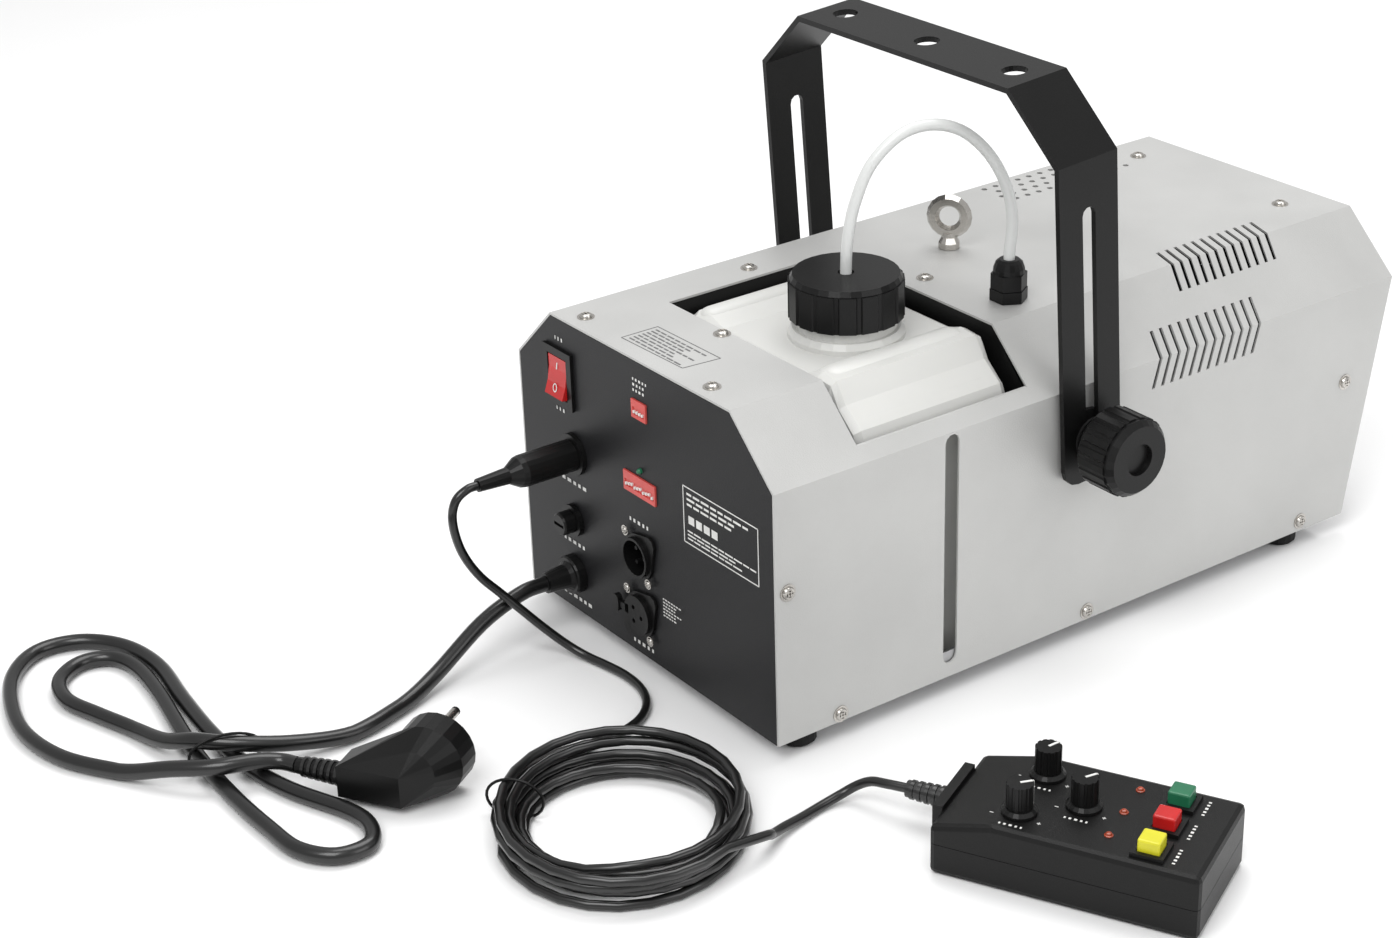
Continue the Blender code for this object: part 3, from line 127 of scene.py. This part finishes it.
# Screws on the lid as (x, y), and on each side as (y, z)
LID_SCREWS = (
    (-0.0610, 0.0110), (0.0514, 0.0095), (-0.0616, 0.1160), (0.0019, 0.0517), (0.0096, 0.1784),
    (-0.0570, 0.3980), (0.0520, 0.4007),
)
SIDE_SCREWS = ((0.0072, 0.0938), (0.0389, 0.0145), (0.2050, 0.0151), (0.3675, 0.0162), (0.3957, 0.0935))

# Middles of the signal sockets on the panel, and where their two screws are from there, as (x, z)
SIGNAL_SOCKETS = ((-0.0034, 0.0687), (-0.0037, 0.0349))
SOCKET_SCREWS = ((0.0097, -0.0118), (-0.0097, 0.0118))

# Print on the control panel and on the lid: outlines, the plate's squares, and labels as (x, z, length)
PLATE_OUTLINE = [(0.0375, 0.0940), (0.0990, 0.0940), (0.0990, 0.1250), (0.0375, 0.1250)]
PLATE_SQUARES = (0.0415, 0.0480, 0.0545, 0.0610)
SQUARE_LENGTH = 0.0048
SQUARE_Z = 0.1075
PANEL_LABELS = (
    (-0.0745, 0.1675, 0.0075), (-0.0765, 0.1270, 0.0095), (-0.0790, 0.0875, 0.0260),
    (-0.0760, 0.0510, 0.0215), (-0.0790, 0.0175, 0.0250), (-0.0115, 0.0875, 0.0155),
    (-0.0125, 0.0160, 0.0185),
)
NOTICE_OUTLINE = [(-0.0270, 0.0100), (0.0240, 0.0115), (0.0262, 0.0330), (-0.0268, 0.0322)]

# Shoulders of the tank: x, z, radius, and the y where each starts and ends
SHOULDERS = (
    (-0.0320, 0.1700, 0.0092, 0.0705, 0.1495), (0.0660, 0.1660, 0.0122, 0.0735, 0.1465),
    (0.0835, 0.1500, 0.0125, 0.0735, 0.1465),
)

# Remote control, in its own axes: dials as (x, y, the pointer's angle), lamps as (x, y), labels' y
HANDSET_TOP_Z = 0.0330
DIALS = ((-0.0256, 0.0172, 62), (-0.0265, -0.0169, 40), (-0.0015, -0.0005, 52))
DIAL_ENDS = (205, 335)
DIAL_MARK_RADIUS = 0.0125
LAMPS = ((0.0171, 0.0228), (0.0163, 0.0025), (0.0162, -0.0178))
BUTTON_LABELS = (0.0203, -0.0007, -0.0217)


# Shapes ------------------------------------------------------------------------------------------


def at(x, y, z):
    """A point of the machine, in the frame."""
    return MACHINE + Vector((x, y, z))


def link(name, bm, material, smooth_angle=35):
    """An object from a bmesh, smooth but for its sharp edges."""
    bmesh.ops.recalc_face_normals(bm, faces=bm.faces)
    mesh = bpy.data.meshes.new(name)
    bm.to_mesh(mesh)
    bm.free()
    mesh.materials.append(material)
    made = bpy.data.objects.new(name, mesh)
    bpy.context.scene.collection.objects.link(made)
    soften(made, smooth_angle)
    return made


def soften(piece, angle=35):
    """Smooth shading that keeps edges sharper than the angle."""
    piece.data.polygons.foreach_set("use_smooth", [True] * len(piece.data.polygons))
    piece.data.set_sharp_from_angle(angle=math.radians(angle))


def lathe(bm, profile, matrix, segments=24):
    """Adds a turned solid: the profile's points are (radius, height) from bottom to top."""
    loops = []
    for radius, height in profile:
        steps = segments if radius > 0 else 1
        loops.append([
            bm.verts.new(matrix @ Vector((radius * math.cos(a), radius * math.sin(a), height)))
            for a in (math.tau * i / steps for i in range(steps))
        ])
    for low, high in zip(loops, loops[1:]):
        for i in range(segments):
            j = (i + 1) % segments
            corners = [low[i % len(low)], low[j % len(low)], high[j % len(high)], high[i % len(high)]]
            bm.faces.new(list(dict.fromkeys(corners)))


def slab(bm, centre, size, matrix=None, bevel=0.0):
    """Adds a box, with its edges rounded if asked."""
    made = bmesh.ops.create_cube(bm, size=1.0)["verts"]
    for vert in made:
        vert.co = Vector(centre) + Vector(c * s for c, s in zip(vert.co, size))
        if matrix:
            vert.co = matrix @ vert.co
    if bevel:
        edges = {edge for vert in made for edge in vert.link_edges}
        bmesh.ops.bevel(bm, geom=list(edges), offset=bevel, segments=2, affect="EDGES", profile=0.7)


def facing(place, normal):
    """A matrix that takes +Z to the normal, at the place."""
    return Matrix.Translation(place) @ Vector(normal).to_track_quat("Z", "Y").to_matrix().to_4x4()


def smoothed(route, steps):
    """Points on a Catmull-Rom curve through the route's points."""
    given = [Vector(point) for point in route]
    ends = [given[0] * 2 - given[1], *given, given[-1] * 2 - given[-2]]
    points = []
    for p0, p1, p2, p3 in zip(ends, ends[1:], ends[2:], ends[3:]):
        for t in (i / steps for i in range(steps)):
            points.append(0.5 * (
                2 * p1 + (p2 - p0) * t + (2 * p0 - 5 * p1 + 4 * p2 - p3) * t ** 2
                + (3 * p1 - p0 - 3 * p2 + p3) * t ** 3
            ))
    points.append(given[-1])
    return points


def strand(name, points, diameter, material, cyclic=False):
    """A round cord along the points."""
    curve = bpy.data.curves.new(name, "CURVE")
    curve.dimensions = "3D"
    curve.bevel_depth = diameter / 2
    curve.bevel_resolution = 5
    curve.use_fill_caps = True
    spline = curve.splines.new("POLY")
    spline.points.add(len(points) - 1)
    for slot, point in zip(spline.points, points):
        slot.co = (*point, 1.0)
    spline.use_cyclic_u = cyclic
    spline.use_smooth = True
    curve.materials.append(material)
    piece = bpy.data.objects.new(name, curve)
    bpy.context.scene.collection.objects.link(piece)
    return piece


# Materials ---------------------------------------------------------------------------------------


def material(name, colour, roughness, spread=0.08, grain=900.0, bump=0.08, cloud=14.0, metallic=0.0):
    """A Principled surface whose colour and roughness vary a little, with a fine grain in relief."""
    made = bpy.data.materials.new(name)
    made.use_nodes = True
    nodes, links = made.node_tree.nodes, made.node_tree.links
    shader = nodes["Principled BSDF"]
    shader.inputs["Metallic"].default_value = metallic
    place = nodes.new("ShaderNodeTexCoord")

    clouds = nodes.new("ShaderNodeTexNoise")
    clouds.inputs["Scale"].default_value = cloud
    clouds.inputs["Detail"].default_value = 5.0
    links.new(place.outputs["Object"], clouds.inputs["Vector"])
    tint = nodes.new("ShaderNodeValToRGB")
    tint.color_ramp.elements[0].position = 0.3
    tint.color_ramp.elements[1].position = 0.7
    tint.color_ramp.elements[0].color = (*(c * (1 - spread) for c in colour), 1.0)
    tint.color_ramp.elements[1].color = (*(min(1.0, c * (1 + spread)) for c in colour), 1.0)
    links.new(clouds.outputs["Fac"], tint.inputs["Fac"])
    links.new(tint.outputs["Color"], shader.inputs["Base Color"])

    wear = nodes.new("ShaderNodeMapRange")
    wear.inputs["To Min"].default_value = roughness * 0.88
    wear.inputs["To Max"].default_value = min(1.0, roughness * 1.14)
    links.new(clouds.outputs["Fac"], wear.inputs["Value"])
    links.new(wear.outputs["Result"], shader.inputs["Roughness"])

    fine = nodes.new("ShaderNodeTexNoise")
    fine.inputs["Scale"].default_value = grain
    fine.inputs["Detail"].default_value = 3.0
    links.new(place.outputs["Object"], fine.inputs["Vector"])
    relief = nodes.new("ShaderNodeBump")
    relief.inputs["Strength"].default_value = bump
    relief.inputs["Distance"].default_value = 0.0004
    links.new(fine.outputs["Fac"], relief.inputs["Height"])
    links.new(relief.outputs["Normal"], shader.inputs["Normal"])
    return made


def paints():
    """Every finish by its name."""
    made = {
        "silver": material("silver_paint", (0.50, 0.50, 0.49), 0.44, 0.05, 1500, 0.30, metallic=0.30),
        "charcoal": material("charcoal_paint", (0.012, 0.012, 0.013), 0.42, 0.15, 1400, 0.22),
        "satin": material("satin_black_paint", (0.005, 0.005, 0.005), 0.36, 0.20, 1300, 0.20),
        "plastic": material("black_plastic", (0.006, 0.006, 0.006), 0.34, 0.20, 1100, 0.12),
        "handset": material("textured_black_plastic", (0.006, 0.006, 0.006), 0.40, 0.15, 1600, 0.35),
        "jacket": material("cord_jacket", (0.005, 0.005, 0.005), 0.30, 0.15, 500, 0.06),
        "rubber": material("black_rubber", (0.008, 0.008, 0.008), 0.62, 0.20, 800, 0.25),
        "milky": material("milky_plastic", (0.60, 0.60, 0.58), 0.36, 0.03, 260, 0.08, 9.0),
        "hose": material("milky_hose", (0.66, 0.67, 0.66), 0.22, 0.03, 240, 0.05, 30.0),
        "steel": material("plated_steel", (0.52, 0.50, 0.47), 0.26, 0.12, 700, 0.10, 60.0, 1.0),
        "galvanised": material("galvanised_steel", (0.48, 0.48, 0.49), 0.44, 0.15, 300, 0.12, 90.0, 1.0),
        "cast": material("cast_aluminium", (0.52, 0.52, 0.53), 0.52, 0.12, 500, 0.45, 40.0, 1.0),
        "brass": material("brass", (0.60, 0.43, 0.17), 0.28, 0.10, 600, 0.08, 50.0, 1.0),
        "board": material("circuit_board", (0.020, 0.115, 0.050), 0.42, 0.25, 500, 0.15, 120.0),
        "red": material("red_plastic", (0.50, 0.012, 0.012), 0.26, 0.10, 500, 0.05, 60.0),
        "pink": material("faded_red_plastic", (0.62, 0.080, 0.070), 0.40, 0.08, 700, 0.08, 80.0),
        "green": material("green_plastic", (0.015, 0.150, 0.070), 0.34, 0.10, 500, 0.08, 80.0),
        "yellow": material("yellow_plastic", (0.640, 0.600, 0.020), 0.34, 0.06, 500, 0.08, 80.0),
        "print": material("white_print", (0.72, 0.72, 0.70), 0.55, 0.06, 900, 0.05, 200.0),
        "grey_print": material("grey_print", (0.13, 0.13, 0.13), 0.55, 0.10, 900, 0.05, 200.0),
        "lens": material("clear_red_lens", (0.32, 0.05, 0.02), 0.16, 0.20, 400, 0.04, 300.0),
    }
    milk = made["milky"].node_tree.nodes["Principled BSDF"].inputs
    milk["Subsurface Weight"].default_value = 0.35
    milk["Subsurface Radius"].default_value = (0.010, 0.010, 0.009)
    tube = made["hose"].node_tree.nodes["Principled BSDF"].inputs
    tube["Subsurface Weight"].default_value = 0.30
    tube["Subsurface Radius"].default_value = (0.004, 0.004, 0.004)
    for dark in ("charcoal", "satin", "plastic", "handset", "rubber"):
        made[dark].node_tree.nodes["Principled BSDF"].inputs["Specular IOR Level"].default_value = 0.22
    made["jacket"].node_tree.nodes["Principled BSDF"].inputs["Coat Weight"].default_value = 0.25
    return made


FINISHES = {
    "silver": ("top_cover",),
    "charcoal": ("rear_panel", "front_panel"),
    "satin": ("bracket", "tank_well", "nozzle_guard"),
    "plastic": (
        "switch_frame", "fuse_holder", "fuse_cap", "signal_in", "signal_out", "release_tab", "remote_socket",
        "mains_gland", "tank_cap", "gland_body", "gland_nut", "pump", "mains_plug", "remote_plug",
        "clamp_knob_left", "clamp_knob_right", "dial_1", "dial_2", "dial_3",
    ),
    "handset": ("handset_top", "handset_base"),
    "jacket": ("handset_relief",),
    "rubber": (
        "foot_rear_left", "foot_rear_right", "foot_front_left", "foot_front_right", "cap_gasket",
        "spacer_left", "spacer_right", "washer_left", "washer_right",
    ),
    "milky": ("fluid_tank",),
    "hose": ("feed_hose", "suction_line"),
    "steel": ("eye_bolt", "pivot_stud_left", "pivot_stud_right"),
    "galvanised": ("base_tray", "heater_jacket"),
    "cast": ("heater_block",),
    "brass": ("nozzle",),
    "board": ("control_board", "handset_board"),
    "red": ("rocker", "button_red"),
    "pink": ("dip_switch", "wireless_switch"),
    "green": ("status_led", "button_green"),
    "yellow": ("button_yellow",),
}


def finish_frame(nodes, paint):
    """Gives each CAD node its finish and smooth shading."""
    for name, names in FINISHES.items():
        for node in names:
            nodes[node].data.materials.clear()
            nodes[node].data.materials.append(paint[name])
            soften(nodes[node])


# Cords -------------------------------------------------------------------------------------------


def ease(t):
    """0 to 1, level at both ends."""
    t = min(1.0, max(0.0, t))
    return t * t * (3 - 2 * t)


def coil_points():
    """The coil's turns: in along the floor, back out on top, then half way in and out again."""
    points = []
    done = 0.0
    height = COIL_STAGES[0][3]
    for turns, start, end, level in COIL_STAGES:
        for i in range(round(turns * COIL_STEPS)):
            turn = i / COIL_STEPS
            share = start + (end - start) * turn / turns
            angle = COIL_START + math.tau * (done + turn)
            half = [low + (high - low) * share for low, high in zip(COIL_INNER, COIL_OUTER)]
            local = Vector((half[0] * math.cos(angle), half[1] * math.sin(angle), 0))
            z = height + (level - height) * ease(turn / COIL_CLIMB)
            points.append(COIL_CENTRE + Matrix.Rotation(COIL_TURN, 3, "Z") @ local + Vector((0, 0, z)))
        done += turns
        height = level
    return points


def build_mains_lead(paint):
    """The mains lead, and the ribs and pins of its plug."""
    route = [MACHINE + point for point in smoothed(MAINS_ROUTE, 6)]
    route = [Vector((p.x, p.y, max(p.z, MAINS_DIAMETER / 2))) for p in route]
    lead = strand("mains_lead", route, MAINS_DIAMETER, paint["jacket"])
    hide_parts("mains_cord")
    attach(lead, "machine")

    bm = bmesh.new()
    for i in range(PLUG_RIBS):
        ring = facing(at(*PLUG_ENTRY) - PLUG_HEADING * (0.0215 - 0.0038 * i), PLUG_HEADING)
        radius = 0.0052 + 0.00022 * i
        lathe(bm, [(0.0042, -0.0011), (radius, -0.0008), (radius, 0.0008), (0.0042, 0.0011)], ring, 20)
    ribs = link("plug_ribs", bm, paint["jacket"])
    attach(ribs, "machine")

    across = Vector((-PLUG_HEADING.y, PLUG_HEADING.x, 0))
    x, y, z = PLUG_HEAD
    bm = bmesh.new()
    for height in PIN_HEIGHTS:
        lathe(bm, PIN_PROFILE, facing(at(x, y, z + height) + across * PLUG_HEAD_TO_FACE, across), 20)
    pins = link("plug_pins", bm, paint["steel"])
    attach(pins, "machine")


def build_remote_lead(paint):
    """The remote control's lead: one cord from its plug through the coil to the remote control."""
    coil = [MACHINE + p for p in coil_points()]
    lead = [MACHINE + Vector(p) for p in LEAD_ROUTE]
    tail = [MACHINE + Vector(p) for p in TAIL_ROUTE]
    points = smoothed([*lead, coil[2], coil[5]], 5)[:-1] + coil[5:-1]
    points += smoothed([coil[-1], at(0.1718, -0.0520, 0.0118), *tail], 5)
    points = [Vector((p.x, p.y, max(p.z, REMOTE_DIAMETER / 2))) for p in points]
    cord = strand("remote_cord", points, REMOTE_DIAMETER, paint["jacket"])
    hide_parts("remote_lead", "remote_coil", "remote_tail")
    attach(cord, "machine")


def build_feed_hose(paint):
    """The hose, which arches between the tank and the gland, as one fixed mesh."""
    route = [MACHINE + point for point in smoothed(HOSE_ROUTE, 5)]
    line = strand("hose_line", route, HOSE_DIAMETER, paint["hose"])
    bpy.context.view_layer.update()
    shape = line.evaluated_get(bpy.context.evaluated_depsgraph_get())
    hose = bpy.data.objects.new("feed_hose_visual", bpy.data.meshes.new_from_object(shape))
    bpy.context.scene.collection.objects.link(hose)
    curve = line.data
    bpy.data.objects.remove(line, do_unlink=True)
    bpy.data.curves.remove(curve)
    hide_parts("feed_hose")
    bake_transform(hose)


def build_ties(paint):
    """The thin ties round the mains lead's crossing and round the coil."""
    for name, (place, along, (half_width, half_height)) in TIES.items():
        centre = at(*place)
        across = Vector((-along[1], along[0], 0))
        loop = []
        for angle in (math.tau * i / TIE_STEPS for i in range(TIE_STEPS)):
            rise = max(half_height * math.sin(angle), TIE_LOWEST - centre.z)
            loop.append(centre + across * half_width * math.cos(angle) + Vector((0, 0, rise)))
        tie = strand(name, loop, TIE_DIAMETER, paint["plastic"], cyclic=True)
        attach(tie, "machine")


# Fittings ----------------------------------------------------------------------------------------


def screw_head(bm, matrix, radius=0.0034, height=0.0021):
    """A pan head on a washer, with four raised blocks that leave a cross between them."""
    lathe(bm, [(0, 0), (radius * 1.35, 0), (radius * 1.35, 0.0005), (0, 0.0005)], matrix, 24)
    profile = [(0, 0.0004), (radius, 0.0004), (radius, height * 0.45), (radius * 0.86, height * 0.80)]
    lathe(bm, profile + [(radius * 0.58, height * 0.96), (radius * 0.50, height * 0.60), (0, height * 0.55)],
          matrix, 24)
    for turn in (45, 135, 225, 315):
        quarter = matrix @ Matrix.Rotation(math.radians(turn), 4, "Z")
        slab(bm, (radius * 0.34, 0, height * 0.70), (radius * 0.40, radius * 0.44, height * 0.50), quarter,
             radius * 0.04)


def build_screws(paint):
    """The screws of the cover and of the signal sockets."""
    bm = bmesh.new()
    for x, y in LID_SCREWS:
        screw_head(bm, facing(at(x, y, TOP_Z), (0, 0, 1)))
    for y, z in SIDE_SCREWS:
        for sign in (-1, 1):
            screw_head(bm, facing(at(sign * SIDE_X, y, z), (sign, 0, 0)))
    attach(link("cover_screws", bm, paint["steel"]), "machine")

    bm = bmesh.new()
    for x, z in SIGNAL_SOCKETS:
        for a, b in SOCKET_SCREWS:
            screw_head(bm, facing(at(x + a, -0.0022, z + b), (0, -1, 0)), 0.0021, 0.0013)
    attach(link("socket_screws", bm, paint["steel"]), "machine")


def bar(bm, plane, start, end, width):
    """A thin printed line between two points of a plane given by its matrix."""
    start, end = Vector(start), Vector(end)
    along = end - start
    turn = Matrix.Rotation(math.atan2(along.y, along.x), 4, "Z")
    middle = (start + end) / 2
    matrix = plane @ Matrix.Translation((middle.x, middle.y, 0)) @ turn
    slab(bm, (0, 0, 0.00008), (along.length, width, 0.00012), matrix)


def frame_of(bm, plane, corners, width):
    """A printed outline through the corners."""
    for start, end in zip(corners, corners[1:] + corners[:1]):
        bar(bm, plane, start, end, width)


def text_lines(bm, plane, corner, length, lines, pitch, height):
    """Rows of short bars in place of small print, broken where words would be."""
    for row in range(lines):
        x = corner[0]
        word = 0
        while x < corner[0] + length * (0.82 + 0.18 * math.cos(row * 2.1)):
            size = length * (0.08 + 0.05 * math.sin(row * 1.7 + word * 2.3) ** 2)
            y = corner[1] - row * pitch
            bar(bm, plane, (x, y), (x + size, y), height)
            x += size + height * 1.1
            word += 1


def build_panel_print(paint):
    """The control panel's outlined plate and the small print beside its fittings, as plain bars."""
    plane = Matrix.Translation(at(0, -0.00005, 0)) @ Matrix.Rotation(math.radians(90), 4, "X")
    bm = bmesh.new()
    frame_of(bm, plane, PLATE_OUTLINE, 0.0006)
    text_lines(bm, plane, (0.0405, 0.1215), 0.050, 3, 0.0029, 0.0012)
    text_lines(bm, plane, (0.0405, 0.1010), 0.054, 3, 0.0021, 0.0008)
    for x in PLATE_SQUARES:
        bar(bm, plane, (x, SQUARE_Z), (x + SQUARE_LENGTH, SQUARE_Z), 0.0044)
    for x, z, length in PANEL_LABELS:
        text_lines(bm, plane, (x, z), length, 1, 0.003, 0.0020)
    text_lines(bm, plane, (-0.0035, 0.1685), 0.012, 3, 0.0030, 0.0014)
    text_lines(bm, plane, (0.0160, 0.0520), 0.0150, 6, 0.0019, 0.0007)
    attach(link("panel_print", bm, paint["print"]), "machine")


def build_lid_print(paint):
    """The outlined notice on the lid, with bars in place of its words."""
    plane = Matrix.Translation(at(0, 0, TOP_Z))
    bm = bmesh.new()
    frame_of(bm, plane, NOTICE_OUTLINE, 0.0005)
    text_lines(bm, plane, (-0.0240, 0.0292), 0.043, 7, 0.0027, 0.0010)
    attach(link("lid_print", bm, paint["grey_print"]), "machine")


def build_switch_details(paint):
    """The levers of the ten-way and the four-way switch, and the marks on the rocker."""
    bm = bmesh.new()
    for i in range(10):
        x = -0.0006 + 0.00254 * (i - 4.5)
        slab(bm, at(x, -0.0007, 0.1074 + 0.0006 * (i % 3)), (0.0012, 0.0014, 0.0014), bevel=0.0002)
    for i in range(4):
        slab(bm, at(0.0016 + 0.0024 * (i - 1.5), -0.0007, 0.1510), (0.0012, 0.0014, 0.0014), bevel=0.0002)
    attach(link("switch_levers", bm, paint["print"]), "machine")

    lean = Matrix.Rotation(math.radians(-9), 4, "X")
    upright = Matrix.Rotation(math.radians(90), 4, "X")
    face = Matrix.Translation(at(-0.0712, -0.0012, 0.1465)) @ lean @ upright
    bm = bmesh.new()
    upper = face @ Matrix.Translation((0, 0, 0.00165))
    bar(bm, upper, (0, 0.0042), (0, 0.0078), 0.0008)
    angles = [math.tau * i / 14 for i in range(14)]
    ring = [(0.0016 * math.cos(a), -0.0060 + 0.0022 * math.sin(a)) for a in angles]
    frame_of(bm, upper, ring, 0.0006)
    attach(link("rocker_marks", bm, paint["print"]), "rocker")


def build_tank_shoulders(paint):
    """The rounded shoulders that stand out of the tank on each side of its neck."""
    bm = bmesh.new()
    steps = 8
    for x, z, radius, start, end in SHOULDERS:
        profile = [(radius * math.sin(math.pi / 2 * i / steps), -radius * math.cos(math.pi / 2 * i / steps))
                   for i in range(steps + 1)]
        length = end - start
        capsule = profile + [(r, length - h) for r, h in reversed(profile)]
        lathe(bm, capsule, facing(at(x, start, z), (0, 1, 0)), 28)
    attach(link("tank_shoulders", bm, paint["milky"], 60), "tank")


def build_hidden_fixings(paint):
    """Four screws on the floor plate, inside the cover at the heater."""
    bm = bmesh.new()
    for x in (-0.036, 0.036):
        for y in (0.2500, 0.3600):
            screw_head(bm, facing(at(x, y, 0.0118), (0, 0, 1)), 0.0024, 0.0016)
    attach(link("floor_screws", bm, paint["steel"]), "machine")


# Remote control ----------------------------------------------------------------------------------


def on_handset(x, y, z):
    """A matrix at a place of the remote control, turned with it."""
    turned = Matrix.Translation(HANDSET) @ Matrix.Rotation(HANDSET_TURN, 4, "Z")
    return turned @ Matrix.Translation((x, y, z))


def build_handset_details(paint):
    """The dials' pointers, the lamps, the small print and the ribs where the lead goes in."""
    for number, (x, y, turn) in enumerate(DIALS, 1):
        bm = bmesh.new()
        matrix = on_handset(x, y, 0.0333) @ Matrix.Rotation(math.radians(turn), 4, "Z")
        slab(bm, (0.0030, 0, 0.0156), (0.0058, 0.0012, 0.0003), matrix)
        slab(bm, (0.0064, 0, 0.0090), (0.0003, 0.0012, 0.0132), matrix)
        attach(link(f"dial_pointer_{number}", bm, paint["print"]), f"dial_{number}")

    bm = bmesh.new()
    dome = [(0, 0), (0.0021, 0), (0.0021, 0.0004), (0.0016, 0.0006), (0.0013, 0.0014), (0, 0.0019)]
    for x, y in LAMPS:
        lathe(bm, dome, on_handset(x, y, HANDSET_TOP_Z), 20)
    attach(link("handset_lamps", bm, paint["lens"]), "machine")

    bm = bmesh.new()
    plane = on_handset(0, 0, HANDSET_TOP_Z)
    for x, y, _ in DIALS:
        for angle in DIAL_ENDS:
            a = math.radians(angle)
            point = Vector((x + DIAL_MARK_RADIUS * math.cos(a), y + DIAL_MARK_RADIUS * math.sin(a)))
            bar(bm, plane, point - Vector((0.0009, 0)), point + Vector((0.0009, 0)), 0.0004)
            if angle == DIAL_ENDS[1]:
                bar(bm, plane, point - Vector((0, 0.0009)), point + Vector((0, 0.0009)), 0.0004)
        text_lines(bm, plane, (x - 0.0055, y - 0.0118), 0.011, 1, 0.002, 0.0013)
    for y in BUTTON_LABELS:
        place = plane @ Matrix.Translation((0.0490, y - 0.0055, 0))
        text_lines(bm, place @ Matrix.Rotation(math.pi / 2, 4, "Z"), (0, 0), 0.0115, 1, 0.0022, 0.0014)
    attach(link("handset_print", bm, paint["print"]), "machine")

    bm = bmesh.new()
    matrix = on_handset(0, 0.0035, 0.0165) @ Matrix.Rotation(math.radians(-90), 4, "Y")
    for i in range(5):
        start = 0.0705 + 0.0038 * i
        radius = 0.0056 - 0.0002 * i
        rib = [(0.0040, start), (radius, start + 0.0003), (radius, start + 0.0021), (0.0040, start + 0.0024)]
        lathe(bm, rib, matrix, 20)
    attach(link("handset_relief_ribs", bm, paint["jacket"]), "machine")


# Camera, light and floor ---------------------------------------------------------------------------


def build_camera():
    """The camera, with its small roll and shift."""
    right = Vector((math.cos(CAMERA_TURN), math.sin(CAMERA_TURN), 0))
    back = Vector((
        math.sin(CAMERA_TURN) * math.cos(CAMERA_HEIGHT), -math.cos(CAMERA_TURN) * math.cos(CAMERA_HEIGHT),
        math.sin(CAMERA_HEIGHT),
    ))
    up = back.cross(right)
    rolled_right = right * math.cos(CAMERA_ROLL) + up * math.sin(CAMERA_ROLL)
    rolled_up = -right * math.sin(CAMERA_ROLL) + up * math.cos(CAMERA_ROLL)
    data = bpy.data.cameras.new("camera")
    data.lens = CAMERA_LENS
    data.sensor_width = 36
    data.shift_x, data.shift_y = CAMERA_SHIFT
    data.clip_start = 0.01
    camera = bpy.data.objects.new("camera", data)
    matrix = Matrix((rolled_right, rolled_up, back)).transposed().to_4x4()
    matrix.translation = CAMERA_PLACE
    camera.matrix_world = matrix
    bpy.context.scene.collection.objects.link(camera)
    bpy.context.scene.camera = camera


def build_light(name, place, size, power):
    """A soft square lamp that faces the middle of the frame."""
    data = bpy.data.lights.new(name, "AREA")
    data.size = size
    data.energy = power
    lamp = bpy.data.objects.new(name, data)
    bpy.context.scene.collection.objects.link(lamp)
    lamp.matrix_world = facing(place, Vector(place) - Vector((0, 0, 0.1)))
    return lamp


def build_studio():
    """A pale floor, a white surround and three soft lamps."""
    bm = bmesh.new()
    bmesh.ops.create_grid(bm, x_segments=8, y_segments=8, size=9.0)
    floor = link("floor", bm, material("floor", (0.90, 0.90, 0.90), 0.75, 0.01, 60, 0.02, 2.0))
    floor.location.z = -0.0004
    lamps = [
        build_light("key", (0.6, -1.3, 1.7), 1.1, 22),
        build_light("side", (1.8, 0.5, 1.1), 1.2, 9),
        build_light("over", (-0.5, 0.5, 2.2), 1.6, 30),
    ]
    world = bpy.data.worlds.new("surround")
    world.use_nodes = True
    background = world.node_tree.nodes["Background"]
    background.inputs["Color"].default_value = (1.0, 1.0, 1.0, 1.0)
    background.inputs["Strength"].default_value = 0.60
    bpy.context.scene.world = world
    bpy.context.scene.view_settings.view_transform = "Standard"


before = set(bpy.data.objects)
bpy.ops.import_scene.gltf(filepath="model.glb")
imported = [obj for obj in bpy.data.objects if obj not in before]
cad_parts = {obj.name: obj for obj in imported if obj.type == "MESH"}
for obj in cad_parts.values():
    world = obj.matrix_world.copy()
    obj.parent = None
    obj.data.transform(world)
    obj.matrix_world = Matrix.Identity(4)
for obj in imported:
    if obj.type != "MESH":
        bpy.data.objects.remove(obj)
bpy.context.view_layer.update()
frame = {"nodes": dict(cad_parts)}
build_camera()
finishes = paints()
finish_frame(frame["nodes"], finishes)
build_mains_lead(finishes)
build_remote_lead(finishes)
build_feed_hose(finishes)
build_ties(finishes)
build_screws(finishes)
build_panel_print(finishes)
build_lid_print(finishes)
build_switch_details(finishes)
build_tank_shoulders(finishes)
build_hidden_fixings(finishes)
build_handset_details(finishes)
build_studio()
